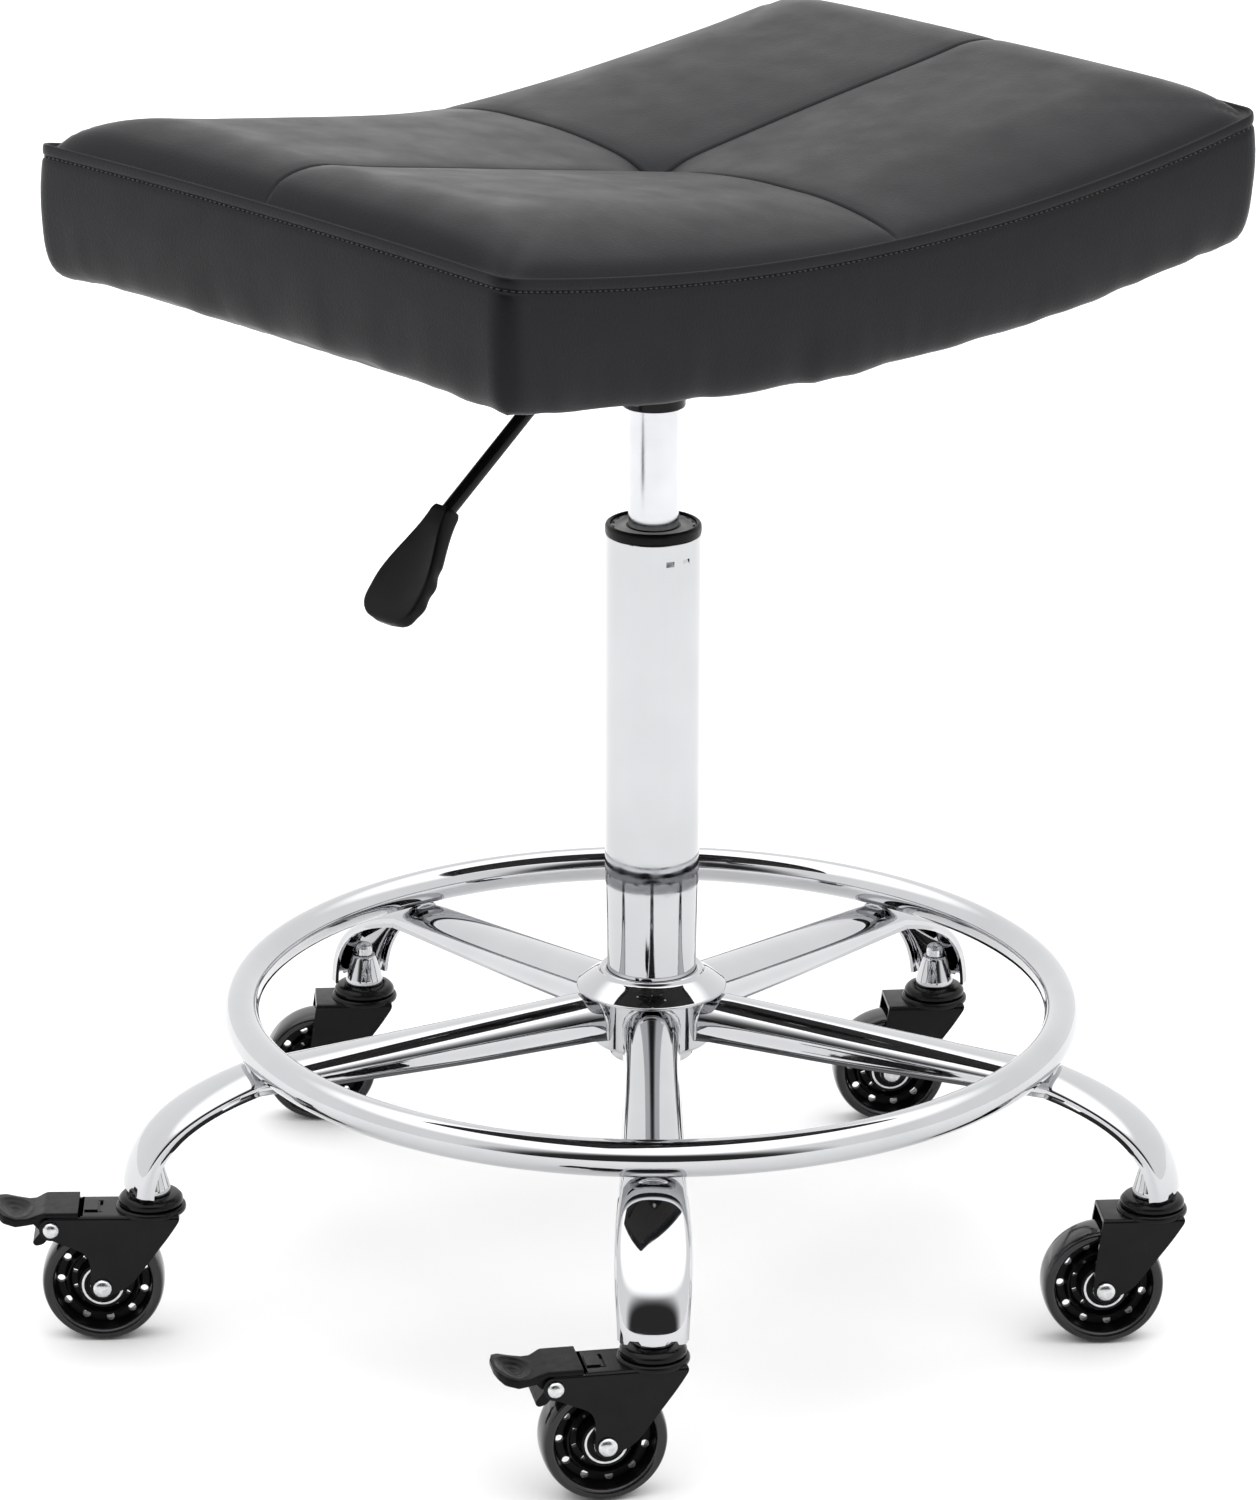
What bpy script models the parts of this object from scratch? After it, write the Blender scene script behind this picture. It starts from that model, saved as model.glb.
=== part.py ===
"""Rolling stylist stool: a padded saddle seat on a gas lift, over a five-leg base with a foot ring.

Metres, +Z up, floor at z = 0. The seat's long side lies along X. The origin is on the floor,
under the middle of the stool's box; the lift's axis stands at (COLUMN_X, COLUMN_Y).
"""
import math

import bmesh
import bpy
from mathutils import Matrix, Vector

MM = 0.001
GAP = 0.3 * MM

# Placement
COLUMN_X = 16.2 * MM
COLUMN_Y = -27.9 * MM
FIRST_LEG_ANGLE = math.radians(228.1)
TRAIL_ANGLES = [math.radians(a) for a in (148.8, 139.8, 141.8, 143.8, 142.8)]
LEG_COUNT = 5
BRAKED_CASTERS = (1, 2)

# Base
HUB_RADIUS = 31.7 * MM
HUB_BOTTOM = 134.5 * MM
HUB_TOP = 175.0 * MM
FLANGE_RADIUS = 39.6 * MM
FLANGE_HEIGHT = 165.0 * MM
RING_RADIUS = 217.5 * MM
RING_TUBE = 9.5 * MM
RING_HEIGHT = 153.9 * MM
LEG_WALL = 1.8 * MM
LEG_SLOPE = -0.104
LEG_STRAIGHT_END = 221.0 * MM
LEG_HUB_HEIGHT = 162.6 * MM
STEM_RADIUS_ON_BASE = 274.7 * MM
LEG_TIP_RADIUS = 288.0 * MM
LEG_TIP_HEIGHT = 83.5 * MM

# Casters, measured from the stem's axis
WHEEL_RADIUS = 32.0 * MM
TRAIL = 25.5 * MM
TYRE_INNER = 25.5 * MM
AXLE_RADIUS = 4.0 * MM
AXLE_HEAD_RADIUS = 5.0 * MM
FORK_HALF_WIDTH = 15.0 * MM
FORK_SHEET = 2.0 * MM
FORK_TOP = 72.0 * MM
DISH_RADIUS = 18.4 * MM
DISH_TOP = 74.0 * MM
CUP_RADIUS = 16.8 * MM
CUP_TOP = 80.0 * MM
KINGPIN_RADIUS = 4.9 * MM
STEM_ROD_RADIUS = 4.0 * MM
SOCKET_TOP = 97.0 * MM
RIVET_OUT = 51.5 * MM
RIVET_HEIGHT = 65.0 * MM
RIVET_RADIUS = 2.5 * MM
PEDAL_HALF_WIDTH = 15.6 * MM

# Gas lift
COLUMN_RADIUS = 25.0 * MM
COLUMN_BOTTOM = 125.8 * MM
COLUMN_TAPER_TOP = 238.0 * MM
COLUMN_TOP = 414.0 * MM
COLUMN_END_RADIUS = 22.3 * MM
COLUMN_WALL = 1.6 * MM
COLUMN_FLOOR = 4.2 * MM
CAP_TOP = 420.0 * MM
CAP_INNER = 22.5 * MM
CYLINDER_RADIUS = 13.1 * MM
CYLINDER_BORE = 11.0 * MM
CYLINDER_BOTTOM = 215.0 * MM
CYLINDER_TOP = 517.0 * MM
PISTON_ROD_RADIUS = 5.0 * MM
PISTON_TOP = 310.0 * MM
BUSHING_BOTTOM = 345.0 * MM
BUTTON_RADIUS = 5.0 * MM
BUTTON_TOP = 520.3 * MM

# Seat
SEAT_HALF_LENGTH = 254.0 * MM
SEAT_HALF_WIDTH = 177.0 * MM
SEAT_SADDLE_RISE = 24.5 * MM
SEAT_CORNER = 22.0 * MM
WELT_HEIGHT = 604.0 * MM
CROWN_CENTRE = 2.5 * MM
CROWN_ENDS = 17.5 * MM
CROWN_SIDES = 11.5 * MM
CROWN_PANEL = 3.0 * MM
CROWN_LEFT = 6.0 * MM
CUSHION_BOTTOM = 538.5 * MM
BOARD_BOTTOM = 540.0 * MM
BOARD_THICKNESS = 12.0 * MM
BOARD_FLAT = 541.5 * MM
BOARD_INSET = 14.0 * MM
CEILING_GAP = 1.0 * MM
BOARD_STEPS = (0.25, 0.5, 0.75, 1.0)
PLATE_HALF_X = 58.0 * MM
PLATE_HALF_Y = 75.0 * MM
PLATE_THICKNESS = 3.0 * MM
PLATE_TOP = BOARD_FLAT - GAP
CHEEK_INNER = 14.0 * MM
CHEEK_SHEET = 3.0 * MM
CHEEK_HALF_LENGTH = 40.0 * MM
BOX_BOTTOM = 508.0 * MM
BOSS_BOTTOM = 482.3 * MM
BOSS_RADIUS = 16.5 * MM
SCREW_X = 47.0 * MM
SCREW_Y = 62.0 * MM
SCREW_HOLE = 3.3 * MM

# Lever
LEVER_RADIUS = 4.0 * MM
LEVER_HEIGHT = BUTTON_TOP + GAP + LEVER_RADIUS
LEVER_PIVOT_X = -28.0 * MM
LEVER_PIN_RADIUS = 2.0 * MM
LEVER_BEND_X = -49.6 * MM
LEVER_DROP = math.radians(38.4)
LEVER_ROD_END_X = -146.0 * MM
PADDLE_START = Vector((-139.5 * MM, 0.0, 0.4540))
PADDLE_DROP = math.radians(50.0)

# Facets
RING_FACETS = 45
FINE = 28
MEDIUM = 20
WHEEL_FACETS = 20
SMALL = 12


def clear_scene():
    for item in list(bpy.data.objects):
        bpy.data.objects.remove(item, do_unlink=True)


def material(name, colour, roughness, metallic):
    made = bpy.data.materials.new(name)
    made.use_nodes = True
    shader = made.node_tree.nodes["Principled BSDF"]
    shader.inputs["Base Color"].default_value = (*colour, 1.0)
    shader.inputs["Roughness"].default_value = roughness
    shader.inputs["Metallic"].default_value = metallic
    made.diffuse_color = (*colour, 1.0)
    return made


def empty(name, location, turn=0.0, parent=None):
    made = bpy.data.objects.new(name, None)
    made.location = location
    made.rotation_euler = (0.0, 0.0, turn)
    made.parent = parent
    bpy.context.collection.objects.link(made)
    return made


def mesh_from(verts, faces):
    """A mesh whose faces all point outwards."""
    made = bpy.data.meshes.new("shape")
    made.from_pydata([tuple(v) for v in verts], [], faces)
    form = bmesh.new()
    form.from_mesh(made)
    bmesh.ops.recalc_face_normals(form, faces=form.faces)
    form.to_mesh(made)
    form.free()
    return made


def place(name, mesh, finish, parent, location=(0.0, 0.0, 0.0), rotation=(0.0, 0.0, 0.0), smooth=35.0):
    """One sub-part: its own object, with its own material and round faces shaded smooth."""
    own = mesh.copy()
    own.name = name
    own.materials.clear()
    own.materials.append(material(name, *finish))
    own.shade_smooth()
    own.set_sharp_from_angle(angle=math.radians(smooth))
    made = bpy.data.objects.new(name, own)
    made.location = location
    made.rotation_euler = rotation
    made.parent = parent
    bpy.context.collection.objects.link(made)
    return made


def combine(base, other, operation):
    """The mesh of base cut by other, or joined to it."""
    first = bpy.data.objects.new("first", base)
    second = bpy.data.objects.new("second", other)
    for item in (first, second):
        bpy.context.collection.objects.link(item)
    step = first.modifiers.new("combine", "BOOLEAN")
    step.operation = operation
    step.solver = "EXACT"
    step.object = second
    graph = bpy.context.evaluated_depsgraph_get()
    result = bpy.data.meshes.new_from_object(first.evaluated_get(graph))
    for item in (first, second):
        bpy.data.objects.remove(item, do_unlink=True)
    return result


def moved(mesh, matrix):
    mesh.transform(matrix)
    return mesh


def lathe(profile, segments, phase=0.0):
    """Turn (radius, height) points about Z. A profile off the axis closes into a ring."""
    verts = []
    rows = []
    for radius, height in profile:
        if radius < 1e-9:
            rows.append([len(verts)] * segments)
            verts.append((0.0, 0.0, height))
            continue
        rows.append(list(range(len(verts), len(verts) + segments)))
        for step in range(segments):
            angle = 2 * math.pi * step / segments + phase
            verts.append((radius * math.cos(angle), radius * math.sin(angle), height))
    if profile[0][0] > 1e-9:
        rows.append(rows[0])
    faces = []
    for low, high in zip(rows, rows[1:]):
        for step in range(segments):
            after = (step + 1) % segments
            corners = [low[step], low[after], high[after], high[step]]
            face = [c for i, c in enumerate(corners) if c not in corners[:i]]
            if len(face) > 2:
                faces.append(face)
    return mesh_from(verts, faces)


def loft(loops, start_point=None, end_point=None):
    """Join loops of equal length. Each end closes on a point, or with one flat face."""
    count = len(loops[0])
    verts = [point for loop in loops for point in loop]
    faces = []
    for row in range(len(loops) - 1):
        for step in range(count):
            after = (step + 1) % count
            a, b = row * count, (row + 1) * count
            faces.append([a + step, a + after, b + after, b + step])
    last = (len(loops) - 1) * count
    for first, point in ((0, start_point), (last, end_point)):
        if point is None:
            faces.append([first + step for step in range(count)])
            continue
        verts.append(point)
        tip = len(verts) - 1
        for step in range(count):
            faces.append([first + step, first + (step + 1) % count, tip])
    return mesh_from(verts, faces)


def prism(outline, half_width):
    """Extrude an (out, up) outline to both sides along Y."""
    loops = [[(x, side, z) for x, z in outline] for side in (-half_width, half_width)]
    return loft(loops)


def arc(centre, radius, start, end, steps):
    """Points on a circle from start to end, in degrees."""
    points = []
    for step in range(steps + 1):
        angle = math.radians(start + (end - start) * step / steps)
        points.append((centre[0] + radius * math.cos(angle), centre[1] + radius * math.sin(angle)))
    return points


def cylinder_y(radius, half_length, x, z, segments):
    """A round bar along Y."""
    profile = [(0.0, -half_length), (radius, -half_length), (radius, half_length), (0.0, half_length)]
    bar = lathe(profile, segments)
    return moved(bar, Matrix.Translation((x, 0.0, z)) @ Matrix.Rotation(math.pi / 2, 4, "X"))


def cylinder_z(radius, bottom, top, segments, x=0.0, y=0.0):
    """An upright round bar."""
    bar = lathe([(0.0, bottom), (radius, bottom), (radius, top), (0.0, top)], segments)
    return moved(bar, Matrix.Translation((x, y, 0.0)))


# Finishes: colour, roughness, metallic
CHROME = ((0.80, 0.81, 0.83), 0.08, 1.0)
ZINC = ((0.72, 0.73, 0.74), 0.28, 1.0)
SATIN_STEEL = ((0.66, 0.67, 0.68), 0.32, 1.0)
BLACK_METAL = ((0.012, 0.012, 0.013), 0.35, 0.0)
BLACK_PLASTIC = ((0.014, 0.014, 0.015), 0.45, 0.0)
GREY_PLASTIC = ((0.55, 0.55, 0.53), 0.5, 0.0)
BLACK_LEATHER = ((0.014, 0.014, 0.016), 0.42, 0.0)
PLYWOOD = ((0.03, 0.027, 0.025), 0.7, 0.0)
SMOKED_TYRE = ((0.06, 0.06, 0.065), 0.2, 0.0)


# Seat

def saddle(x):
    """How far the seat's long side has risen at x."""
    return SEAT_SADDLE_RISE * (x / SEAT_HALF_LENGTH) ** 2


def rounded_loop(half_x, half_y, radius):
    """A rectangle with round corners, as (x, y) points with more along its long sides."""
    quarter = []
    straight_x = half_x - radius
    straight_y = half_y - radius
    for step in range(2):
        quarter.append((half_x, straight_y * step / 2))
    quarter += arc((straight_x, straight_y), radius, 0.0, 90.0, 3)
    for step in range(1, 4):
        quarter.append((straight_x * (1 - step / 4), half_y))
    second = [(-x, y) for x, y in reversed(quarter[1:])]
    upper = quarter + [(0.0, half_y)] + second
    lower = [(x, -y) for x, y in reversed(upper[1:])]
    return upper + [(-half_x, 0.0)] + lower


def seat_loop(inset, height):
    """One loop of the cushion, inset from its widest line, at a height above the saddle curve."""
    radius = max(SEAT_CORNER - inset * 0.3, 4 * MM)
    shape = rounded_loop(SEAT_HALF_LENGTH - inset, SEAT_HALF_WIDTH - inset, radius)
    return [(x, y, height + saddle(x)) for x, y in shape]


def board_loop(scale, height, grow=0.0):
    """A loop of the board's outline, scaled about its middle; height is a function of x."""
    half_x = (SEAT_HALF_LENGTH - BOARD_INSET + grow) * scale
    half_y = (SEAT_HALF_WIDTH - BOARD_INSET + grow) * scale
    return [(x, y, height(x)) for x, y in rounded_loop(half_x, half_y, 18 * MM * scale)]


def board_under(x):
    return max(BOARD_BOTTOM + saddle(x), BOARD_FLAT)


def board_upper(x):
    return BOARD_BOTTOM + BOARD_THICKNESS + saddle(x)


def recess_ceiling(x):
    return board_upper(x) + CEILING_GAP


def recess_mouth(x):
    return CUSHION_BOTTOM + 1.5 * MM + saddle(x)


def shoulder(distance, reach, power):
    """Padding swelling up from its seam: 0 on the seam, 1 from reach onwards."""
    share = max(1.0 - distance / reach, 0.0)
    return (1.0 - share ** power) ** (1.0 / power)


def crown(x, y):
    """How far the padding stands above the welt's curve: four panels that dip to the middle."""
    along = abs(x) / SEAT_HALF_LENGTH
    across = abs(y) / SEAT_HALF_WIDTH
    to_ends = math.sin(math.pi / 2 * min(abs(x) / (175 * MM), 1.0)) ** 0.9
    to_sides = math.sin(math.pi / 2 * min(abs(y) / (90 * MM), 1.0))
    height = CROWN_CENTRE + (CROWN_ENDS - CROWN_CENTRE) * to_ends
    height += (CROWN_SIDES - CROWN_CENTRE) * to_sides * (1.0 - along) ** 3
    height += CROWN_PANEL * (math.sin(math.pi * along) * math.sin(math.pi * across)) ** 0.8
    height += CROWN_LEFT * max(-x / SEAT_HALF_LENGTH, 0.0) ** 2
    height *= shoulder(SEAT_HALF_LENGTH - abs(x), 42 * MM, 1.75)
    return height * shoulder(SEAT_HALF_WIDTH - abs(y), 64 * MM, 1.65)


def top_loop(inset, scale=1.0):
    """One loop of the padded top, on its crown."""
    half_x = (SEAT_HALF_LENGTH - inset) * scale
    half_y = (SEAT_HALF_WIDTH - inset) * scale
    shape = rounded_loop(half_x, half_y, SEAT_CORNER * scale)
    return [(x, y, WELT_HEIGHT + saddle(x) + crown(x, y)) for x, y in shape]


def cushion_mesh():
    """A crowned saddle cushion with a recess below for its board."""
    loops = [board_loop(scale, recess_ceiling, GAP) for scale in BOARD_STEPS]
    loops += [
        board_loop(1.0, recess_mouth, GAP),
        seat_loop(7 * MM, CUSHION_BOTTOM),
        seat_loop(1 * MM, CUSHION_BOTTOM + 6 * MM),
        seat_loop(-1.5 * MM, CUSHION_BOTTOM + 32 * MM),
        seat_loop(0.0, WELT_HEIGHT - 4 * MM),
        seat_loop(3 * MM, WELT_HEIGHT + 1 * MM),
        top_loop(10 * MM),
        top_loop(26 * MM),
        top_loop(48 * MM),
        top_loop(48 * MM, 0.7),
        top_loop(48 * MM, 0.4),
    ]
    return loft(loops, (0.0, 0.0, recess_ceiling(0.0)), (0.0, 0.0, WELT_HEIGHT + CROWN_CENTRE))


def board_mesh():
    """Curved plywood with a flat in the middle of its underside, drilled for four screws."""
    loops = [board_loop(scale, board_under) for scale in BOARD_STEPS]
    loops += [board_loop(scale, board_upper) for scale in reversed(BOARD_STEPS)]
    board = loft(loops, (0.0, 0.0, BOARD_FLAT), (0.0, 0.0, board_upper(0.0)))
    for x in (-SCREW_X, SCREW_X):
        for y in (-SCREW_Y, SCREW_Y):
            hole = cylinder_z(SCREW_HOLE, BOARD_BOTTOM - 10 * MM, BOARD_FLAT + 9 * MM, SMALL, x, y)
            board = combine(board, hole, "DIFFERENCE")
    return board


def seat_plate_mesh():
    """A pressed plate with a box for the lever and a boss that grips the lift."""
    plate = loft([[(x, y, z) for x, y in rounded_loop(PLATE_HALF_X, PLATE_HALF_Y, 12 * MM)]
                  for z in (PLATE_TOP - PLATE_THICKNESS, PLATE_TOP)])
    outer = CHEEK_INNER + CHEEK_SHEET
    top = PLATE_TOP - PLATE_THICKNESS / 2
    block = prism([(-CHEEK_HALF_LENGTH, BOX_BOTTOM), (CHEEK_HALF_LENGTH, BOX_BOTTOM),
                   (CHEEK_HALF_LENGTH + 6 * MM, top), (-CHEEK_HALF_LENGTH - 6 * MM, top)], outer)
    reach = 70 * MM
    slot_bottom = BOX_BOTTOM + CHEEK_SHEET
    slot_top = PLATE_TOP - PLATE_THICKNESS
    slot = prism([(-reach, slot_bottom), (reach, slot_bottom), (reach, slot_top), (-reach, slot_top)],
                 CHEEK_INNER)
    boss = cylinder_z(BOSS_RADIUS, BOSS_BOTTOM, BOX_BOTTOM + CHEEK_SHEET / 2, MEDIUM)
    shape = combine(plate, block, "UNION")
    shape = combine(shape, boss, "UNION")
    shape = combine(shape, slot, "DIFFERENCE")
    bore = cylinder_z(CYLINDER_RADIUS + GAP, BOSS_BOTTOM - 5 * MM, BOX_BOTTOM + 5 * MM, MEDIUM)
    shape = combine(shape, bore, "DIFFERENCE")
    pin_hole = cylinder_y(LEVER_PIN_RADIUS + GAP, 30 * MM, LEVER_PIVOT_X, LEVER_HEIGHT, SMALL)
    shape = combine(shape, pin_hole, "DIFFERENCE")
    for x in (-SCREW_X, SCREW_X):
        for y in (-SCREW_Y, SCREW_Y):
            hole = cylinder_z(SCREW_HOLE, PLATE_TOP - 10 * MM, PLATE_TOP + 10 * MM, SMALL, x, y)
            shape = combine(shape, hole, "DIFFERENCE")
    return shape


def screw_mesh():
    """A flanged pan-head screw, point up, with its head's top face at z = 0."""
    return lathe([(0.0, -5.5 * MM), (3.5 * MM, -5.2 * MM), (5.2 * MM, -3.2 * MM), (5.2 * MM, -1.5 * MM),
                  (7.0 * MM, -1.2 * MM), (7.0 * MM, 0.0), (3.0 * MM, 0.0), (3.0 * MM, 10.0 * MM),
                  (0.0, 11.5 * MM)], SMALL)


def build_seat(root):
    place("seat_cushion", cushion_mesh(), BLACK_LEATHER, root, smooth=60.0)
    place("seat_board", board_mesh(), PLYWOOD, root)
    place("seat_plate", seat_plate_mesh(), BLACK_METAL, root)
    screw = screw_mesh()
    spots = [(x, y) for x in (-SCREW_X, SCREW_X) for y in (-SCREW_Y, SCREW_Y)]
    for number, (x, y) in enumerate(spots, 1):
        under_plate = PLATE_TOP - PLATE_THICKNESS - GAP
        place(f"seat_screw_{number}", screw, ZINC, root, location=(x, y, under_plate))


# Lever

def lever_route():
    """The rod's centre line: level over the button, one bend, then straight down to the paddle."""
    bend = 14 * MM
    slope = math.tan(LEVER_DROP)
    corner = Vector((LEVER_BEND_X, 0.0, 0.0))
    before = corner + Vector((bend, 0.0, 0.0))
    after = corner + Vector((-bend * math.cos(LEVER_DROP), 0.0, -bend * math.sin(LEVER_DROP)))
    points = [Vector((0.0, 0.0, 0.0)), Vector((-20 * MM, 0.0, 0.0)), before]
    for step in range(1, 6):
        t = step / 5
        points.append(before * (1 - t) ** 2 + corner * 2 * t * (1 - t) + after * t * t)
    end_x = LEVER_ROD_END_X
    points.append(Vector((end_x, 0.0, (end_x - LEVER_BEND_X) * slope)))
    return points


def lever_rod_mesh():
    """A bent round rod with a ball end over the button and a hole for its pin."""
    route = lever_route()
    loops = []
    sides = 10
    for index, point in enumerate(route):
        ahead = route[min(index + 1, len(route) - 1)] - route[max(index - 1, 0)]
        tangent = ahead.normalized()
        side = Vector((0.0, 1.0, 0.0))
        up = tangent.cross(side)
        loops.append([point + LEVER_RADIUS * (math.cos(a) * side + math.sin(a) * up)
                      for a in (2 * math.pi * k / sides for k in range(sides))])
    ball = []
    for lift in (0.85, 0.5):
        radius = LEVER_RADIUS * math.sqrt(1 - lift * lift)
        ball.append([Vector((LEVER_RADIUS * lift, 0.0, 0.0)) + (point - route[0]) * (radius / LEVER_RADIUS)
                     for point in loops[0]])
    rod = loft(ball + loops, Vector((LEVER_RADIUS, 0.0, 0.0)))
    hole = cylinder_y(LEVER_PIN_RADIUS + GAP, 10 * MM, LEVER_PIVOT_X, 0.0, SMALL)
    return moved(combine(rod, hole, "DIFFERENCE"), Matrix.Translation((-LEVER_PIVOT_X, 0.0, 0.0)))


def paddle_mesh():
    """A flared hand paddle with a socket that slips over the rod's end."""
    along = Vector((-math.cos(PADDLE_DROP), 0.0, -math.sin(PADDLE_DROP)))
    side = Vector((0.0, 1.0, 0.0))
    up = side.cross(along)
    sections = ((0, 6.0, 5.8), (8, 7.5, 6.0), (18, 12.0, 5.6), (34, 19.0, 4.8), (48, 21.0, 4.0),
                (60, 18.0, 3.2), (66, 11.0, 2.2))
    loops = []
    for reach, half_width, half_thick in sections:
        centre = PADDLE_START + along * reach * MM
        loops.append([centre + side * half_width * MM * math.cos(a) + up * half_thick * MM * math.sin(a)
                      for a in (2 * math.pi * k / 16 for k in range(16))])
    solid = loft(loops)
    rod_line = Vector((-math.cos(LEVER_DROP), 0.0, -math.sin(LEVER_DROP)))
    rod_fall = (LEVER_BEND_X - LEVER_ROD_END_X) * math.tan(LEVER_DROP)
    rod_end = Vector((LEVER_ROD_END_X, 0.0, LEVER_HEIGHT - rod_fall))
    socket = cylinder_z(LEVER_RADIUS + GAP, -30 * MM, GAP, SMALL)
    turn = Vector((0.0, 0.0, 1.0)).rotation_difference(rod_line).to_matrix().to_4x4()
    moved(socket, Matrix.Translation(rod_end) @ turn)
    pivot = Matrix.Translation((-LEVER_PIVOT_X, 0.0, -LEVER_HEIGHT))
    return moved(combine(solid, socket, "DIFFERENCE"), pivot)


def build_lever(root):
    pivot = (LEVER_PIVOT_X, 0.0, LEVER_HEIGHT)
    hinge = empty("lever_hinge", pivot, parent=root)
    place("lever_rod", lever_rod_mesh(), BLACK_METAL, hinge)
    place("lever_paddle", paddle_mesh(), BLACK_PLASTIC, hinge)
    reach = CHEEK_INNER + CHEEK_SHEET + GAP
    pin = lathe([(0.0, -reach - 2 * MM), (3.4 * MM, -reach - 2 * MM), (3.4 * MM, -reach),
                 (LEVER_PIN_RADIUS, -reach), (LEVER_PIN_RADIUS, reach), (3.4 * MM, reach),
                 (3.4 * MM, reach + 2 * MM), (0.0, reach + 2 * MM)], SMALL)
    place("lever_pin", pin, ZINC, root, location=pivot, rotation=(math.pi / 2, 0.0, 0.0))


# Gas lift

def column_mesh():
    """The outer tube: straight above, tapered where it wedges into the hub, floored below."""
    inner = COLUMN_RADIUS - COLUMN_WALL
    floor = COLUMN_BOTTOM + COLUMN_FLOOR
    hole = PISTON_ROD_RADIUS + GAP
    return lathe([(hole, COLUMN_BOTTOM), (COLUMN_END_RADIUS - 1.0 * MM, COLUMN_BOTTOM),
                  (COLUMN_END_RADIUS, COLUMN_BOTTOM + 1.5 * MM), (COLUMN_RADIUS, COLUMN_TAPER_TOP),
                  (COLUMN_RADIUS, COLUMN_TOP), (inner, COLUMN_TOP), (inner, COLUMN_TAPER_TOP),
                  (COLUMN_END_RADIUS - COLUMN_WALL, floor), (hole, floor)], FINE)


def column_radius_at(height):
    share = (height - COLUMN_BOTTOM) / (COLUMN_TAPER_TOP - COLUMN_BOTTOM)
    return COLUMN_END_RADIUS + (COLUMN_RADIUS - COLUMN_END_RADIUS) * min(share, 1.0)


def piston_rod_mesh():
    """The thin inner rod: threaded foot, thrust collar, shaft and piston."""
    floor = COLUMN_BOTTOM + COLUMN_FLOOR + GAP
    return lathe([(0.0, COLUMN_BOTTOM - 7 * MM), (4.0 * MM, COLUMN_BOTTOM - 7 * MM),
                  (PISTON_ROD_RADIUS, COLUMN_BOTTOM - 5.5 * MM), (PISTON_ROD_RADIUS, floor),
                  (11.0 * MM, floor), (11.0 * MM, floor + 4 * MM), (PISTON_ROD_RADIUS, floor + 4 * MM),
                  (PISTON_ROD_RADIUS, PISTON_TOP - 10 * MM), (CYLINDER_BORE - GAP, PISTON_TOP - 10 * MM),
                  (CYLINDER_BORE - GAP, PISTON_TOP), (0.0, PISTON_TOP)], 16)


def cylinder_mesh():
    """The sealed gas cylinder: open round its rod below, with a pocket for the button above."""
    guide = PISTON_ROD_RADIUS + GAP
    pocket = BUTTON_RADIUS + GAP
    return lathe([(0.0, CYLINDER_TOP - 25 * MM), (CYLINDER_BORE, CYLINDER_TOP - 25 * MM),
                  (CYLINDER_BORE, CYLINDER_BOTTOM + 12 * MM), (guide, CYLINDER_BOTTOM + 12 * MM),
                  (guide, CYLINDER_BOTTOM), (CYLINDER_RADIUS, CYLINDER_BOTTOM),
                  (CYLINDER_RADIUS, CYLINDER_TOP - 1 * MM), (CYLINDER_RADIUS - 1 * MM, CYLINDER_TOP),
                  (pocket, CYLINDER_TOP), (pocket, CYLINDER_TOP - 17 * MM),
                  (0.0, CYLINDER_TOP - 17 * MM)], MEDIUM)


def build_lift(root):
    place("gas_column", column_mesh(), CHROME, root)
    cap = lathe([(CAP_INNER, COLUMN_TOP + GAP), (COLUMN_RADIUS, COLUMN_TOP + GAP),
                 (COLUMN_RADIUS, CAP_TOP - 1 * MM), (COLUMN_RADIUS - 1 * MM, CAP_TOP),
                 (CAP_INNER, CAP_TOP)], FINE)
    place("column_cap", cap, BLACK_PLASTIC, root)
    slide = CYLINDER_RADIUS + GAP
    outer = COLUMN_RADIUS - COLUMN_WALL - GAP
    bushing = lathe([(slide, BUSHING_BOTTOM), (outer, BUSHING_BOTTOM), (outer, COLUMN_TOP - 1 * MM),
                     (CAP_INNER - GAP, COLUMN_TOP - 1 * MM), (CAP_INNER - GAP, CAP_TOP - 1.5 * MM),
                     (slide, CAP_TOP - 1.5 * MM)], MEDIUM)
    place("guide_bushing", bushing, GREY_PLASTIC, root)
    place("piston_rod", piston_rod_mesh(), ZINC, root)
    clip_top = COLUMN_BOTTOM - GAP
    clip_bottom = clip_top - 2.5 * MM
    clip = lathe([(PISTON_ROD_RADIUS + GAP, clip_bottom), (11 * MM, clip_bottom),
                  (11 * MM, clip_top), (PISTON_ROD_RADIUS + GAP, clip_top)], 16)
    place("piston_clip", clip, ZINC, root)
    place("gas_cylinder", cylinder_mesh(), SATIN_STEEL, root)
    button = lathe([(0.0, CYLINDER_TOP - 12 * MM), (BUTTON_RADIUS, CYLINDER_TOP - 12 * MM),
                    (BUTTON_RADIUS, BUTTON_TOP - 0.8 * MM), (BUTTON_RADIUS - 0.8 * MM, BUTTON_TOP),
                    (0.0, BUTTON_TOP)], SMALL)
    place("release_button", button, BLACK_PLASTIC, root)


# Base

def hub_mesh():
    """A turned socket: body, thin conical flange, and a tapered bore that grips the column."""
    def bore(height):
        return column_radius_at(height) + GAP

    lip = FLANGE_HEIGHT - 1.8 * MM
    return lathe([(bore(HUB_BOTTOM), HUB_BOTTOM), (HUB_RADIUS - 1 * MM, HUB_BOTTOM),
                  (HUB_RADIUS, HUB_BOTTOM + 1 * MM), (HUB_RADIUS, lip - 0.1 * MM),
                  (FLANGE_RADIUS - 2 * MM, lip), (FLANGE_RADIUS, lip + 0.6 * MM),
                  (FLANGE_RADIUS, FLANGE_HEIGHT), (33.5 * MM, FLANGE_HEIGHT + 4.5 * MM),
                  (27.5 * MM, HUB_TOP - 1.5 * MM), (26.3 * MM, HUB_TOP), (bore(HUB_TOP), HUB_TOP)], FINE)


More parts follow.
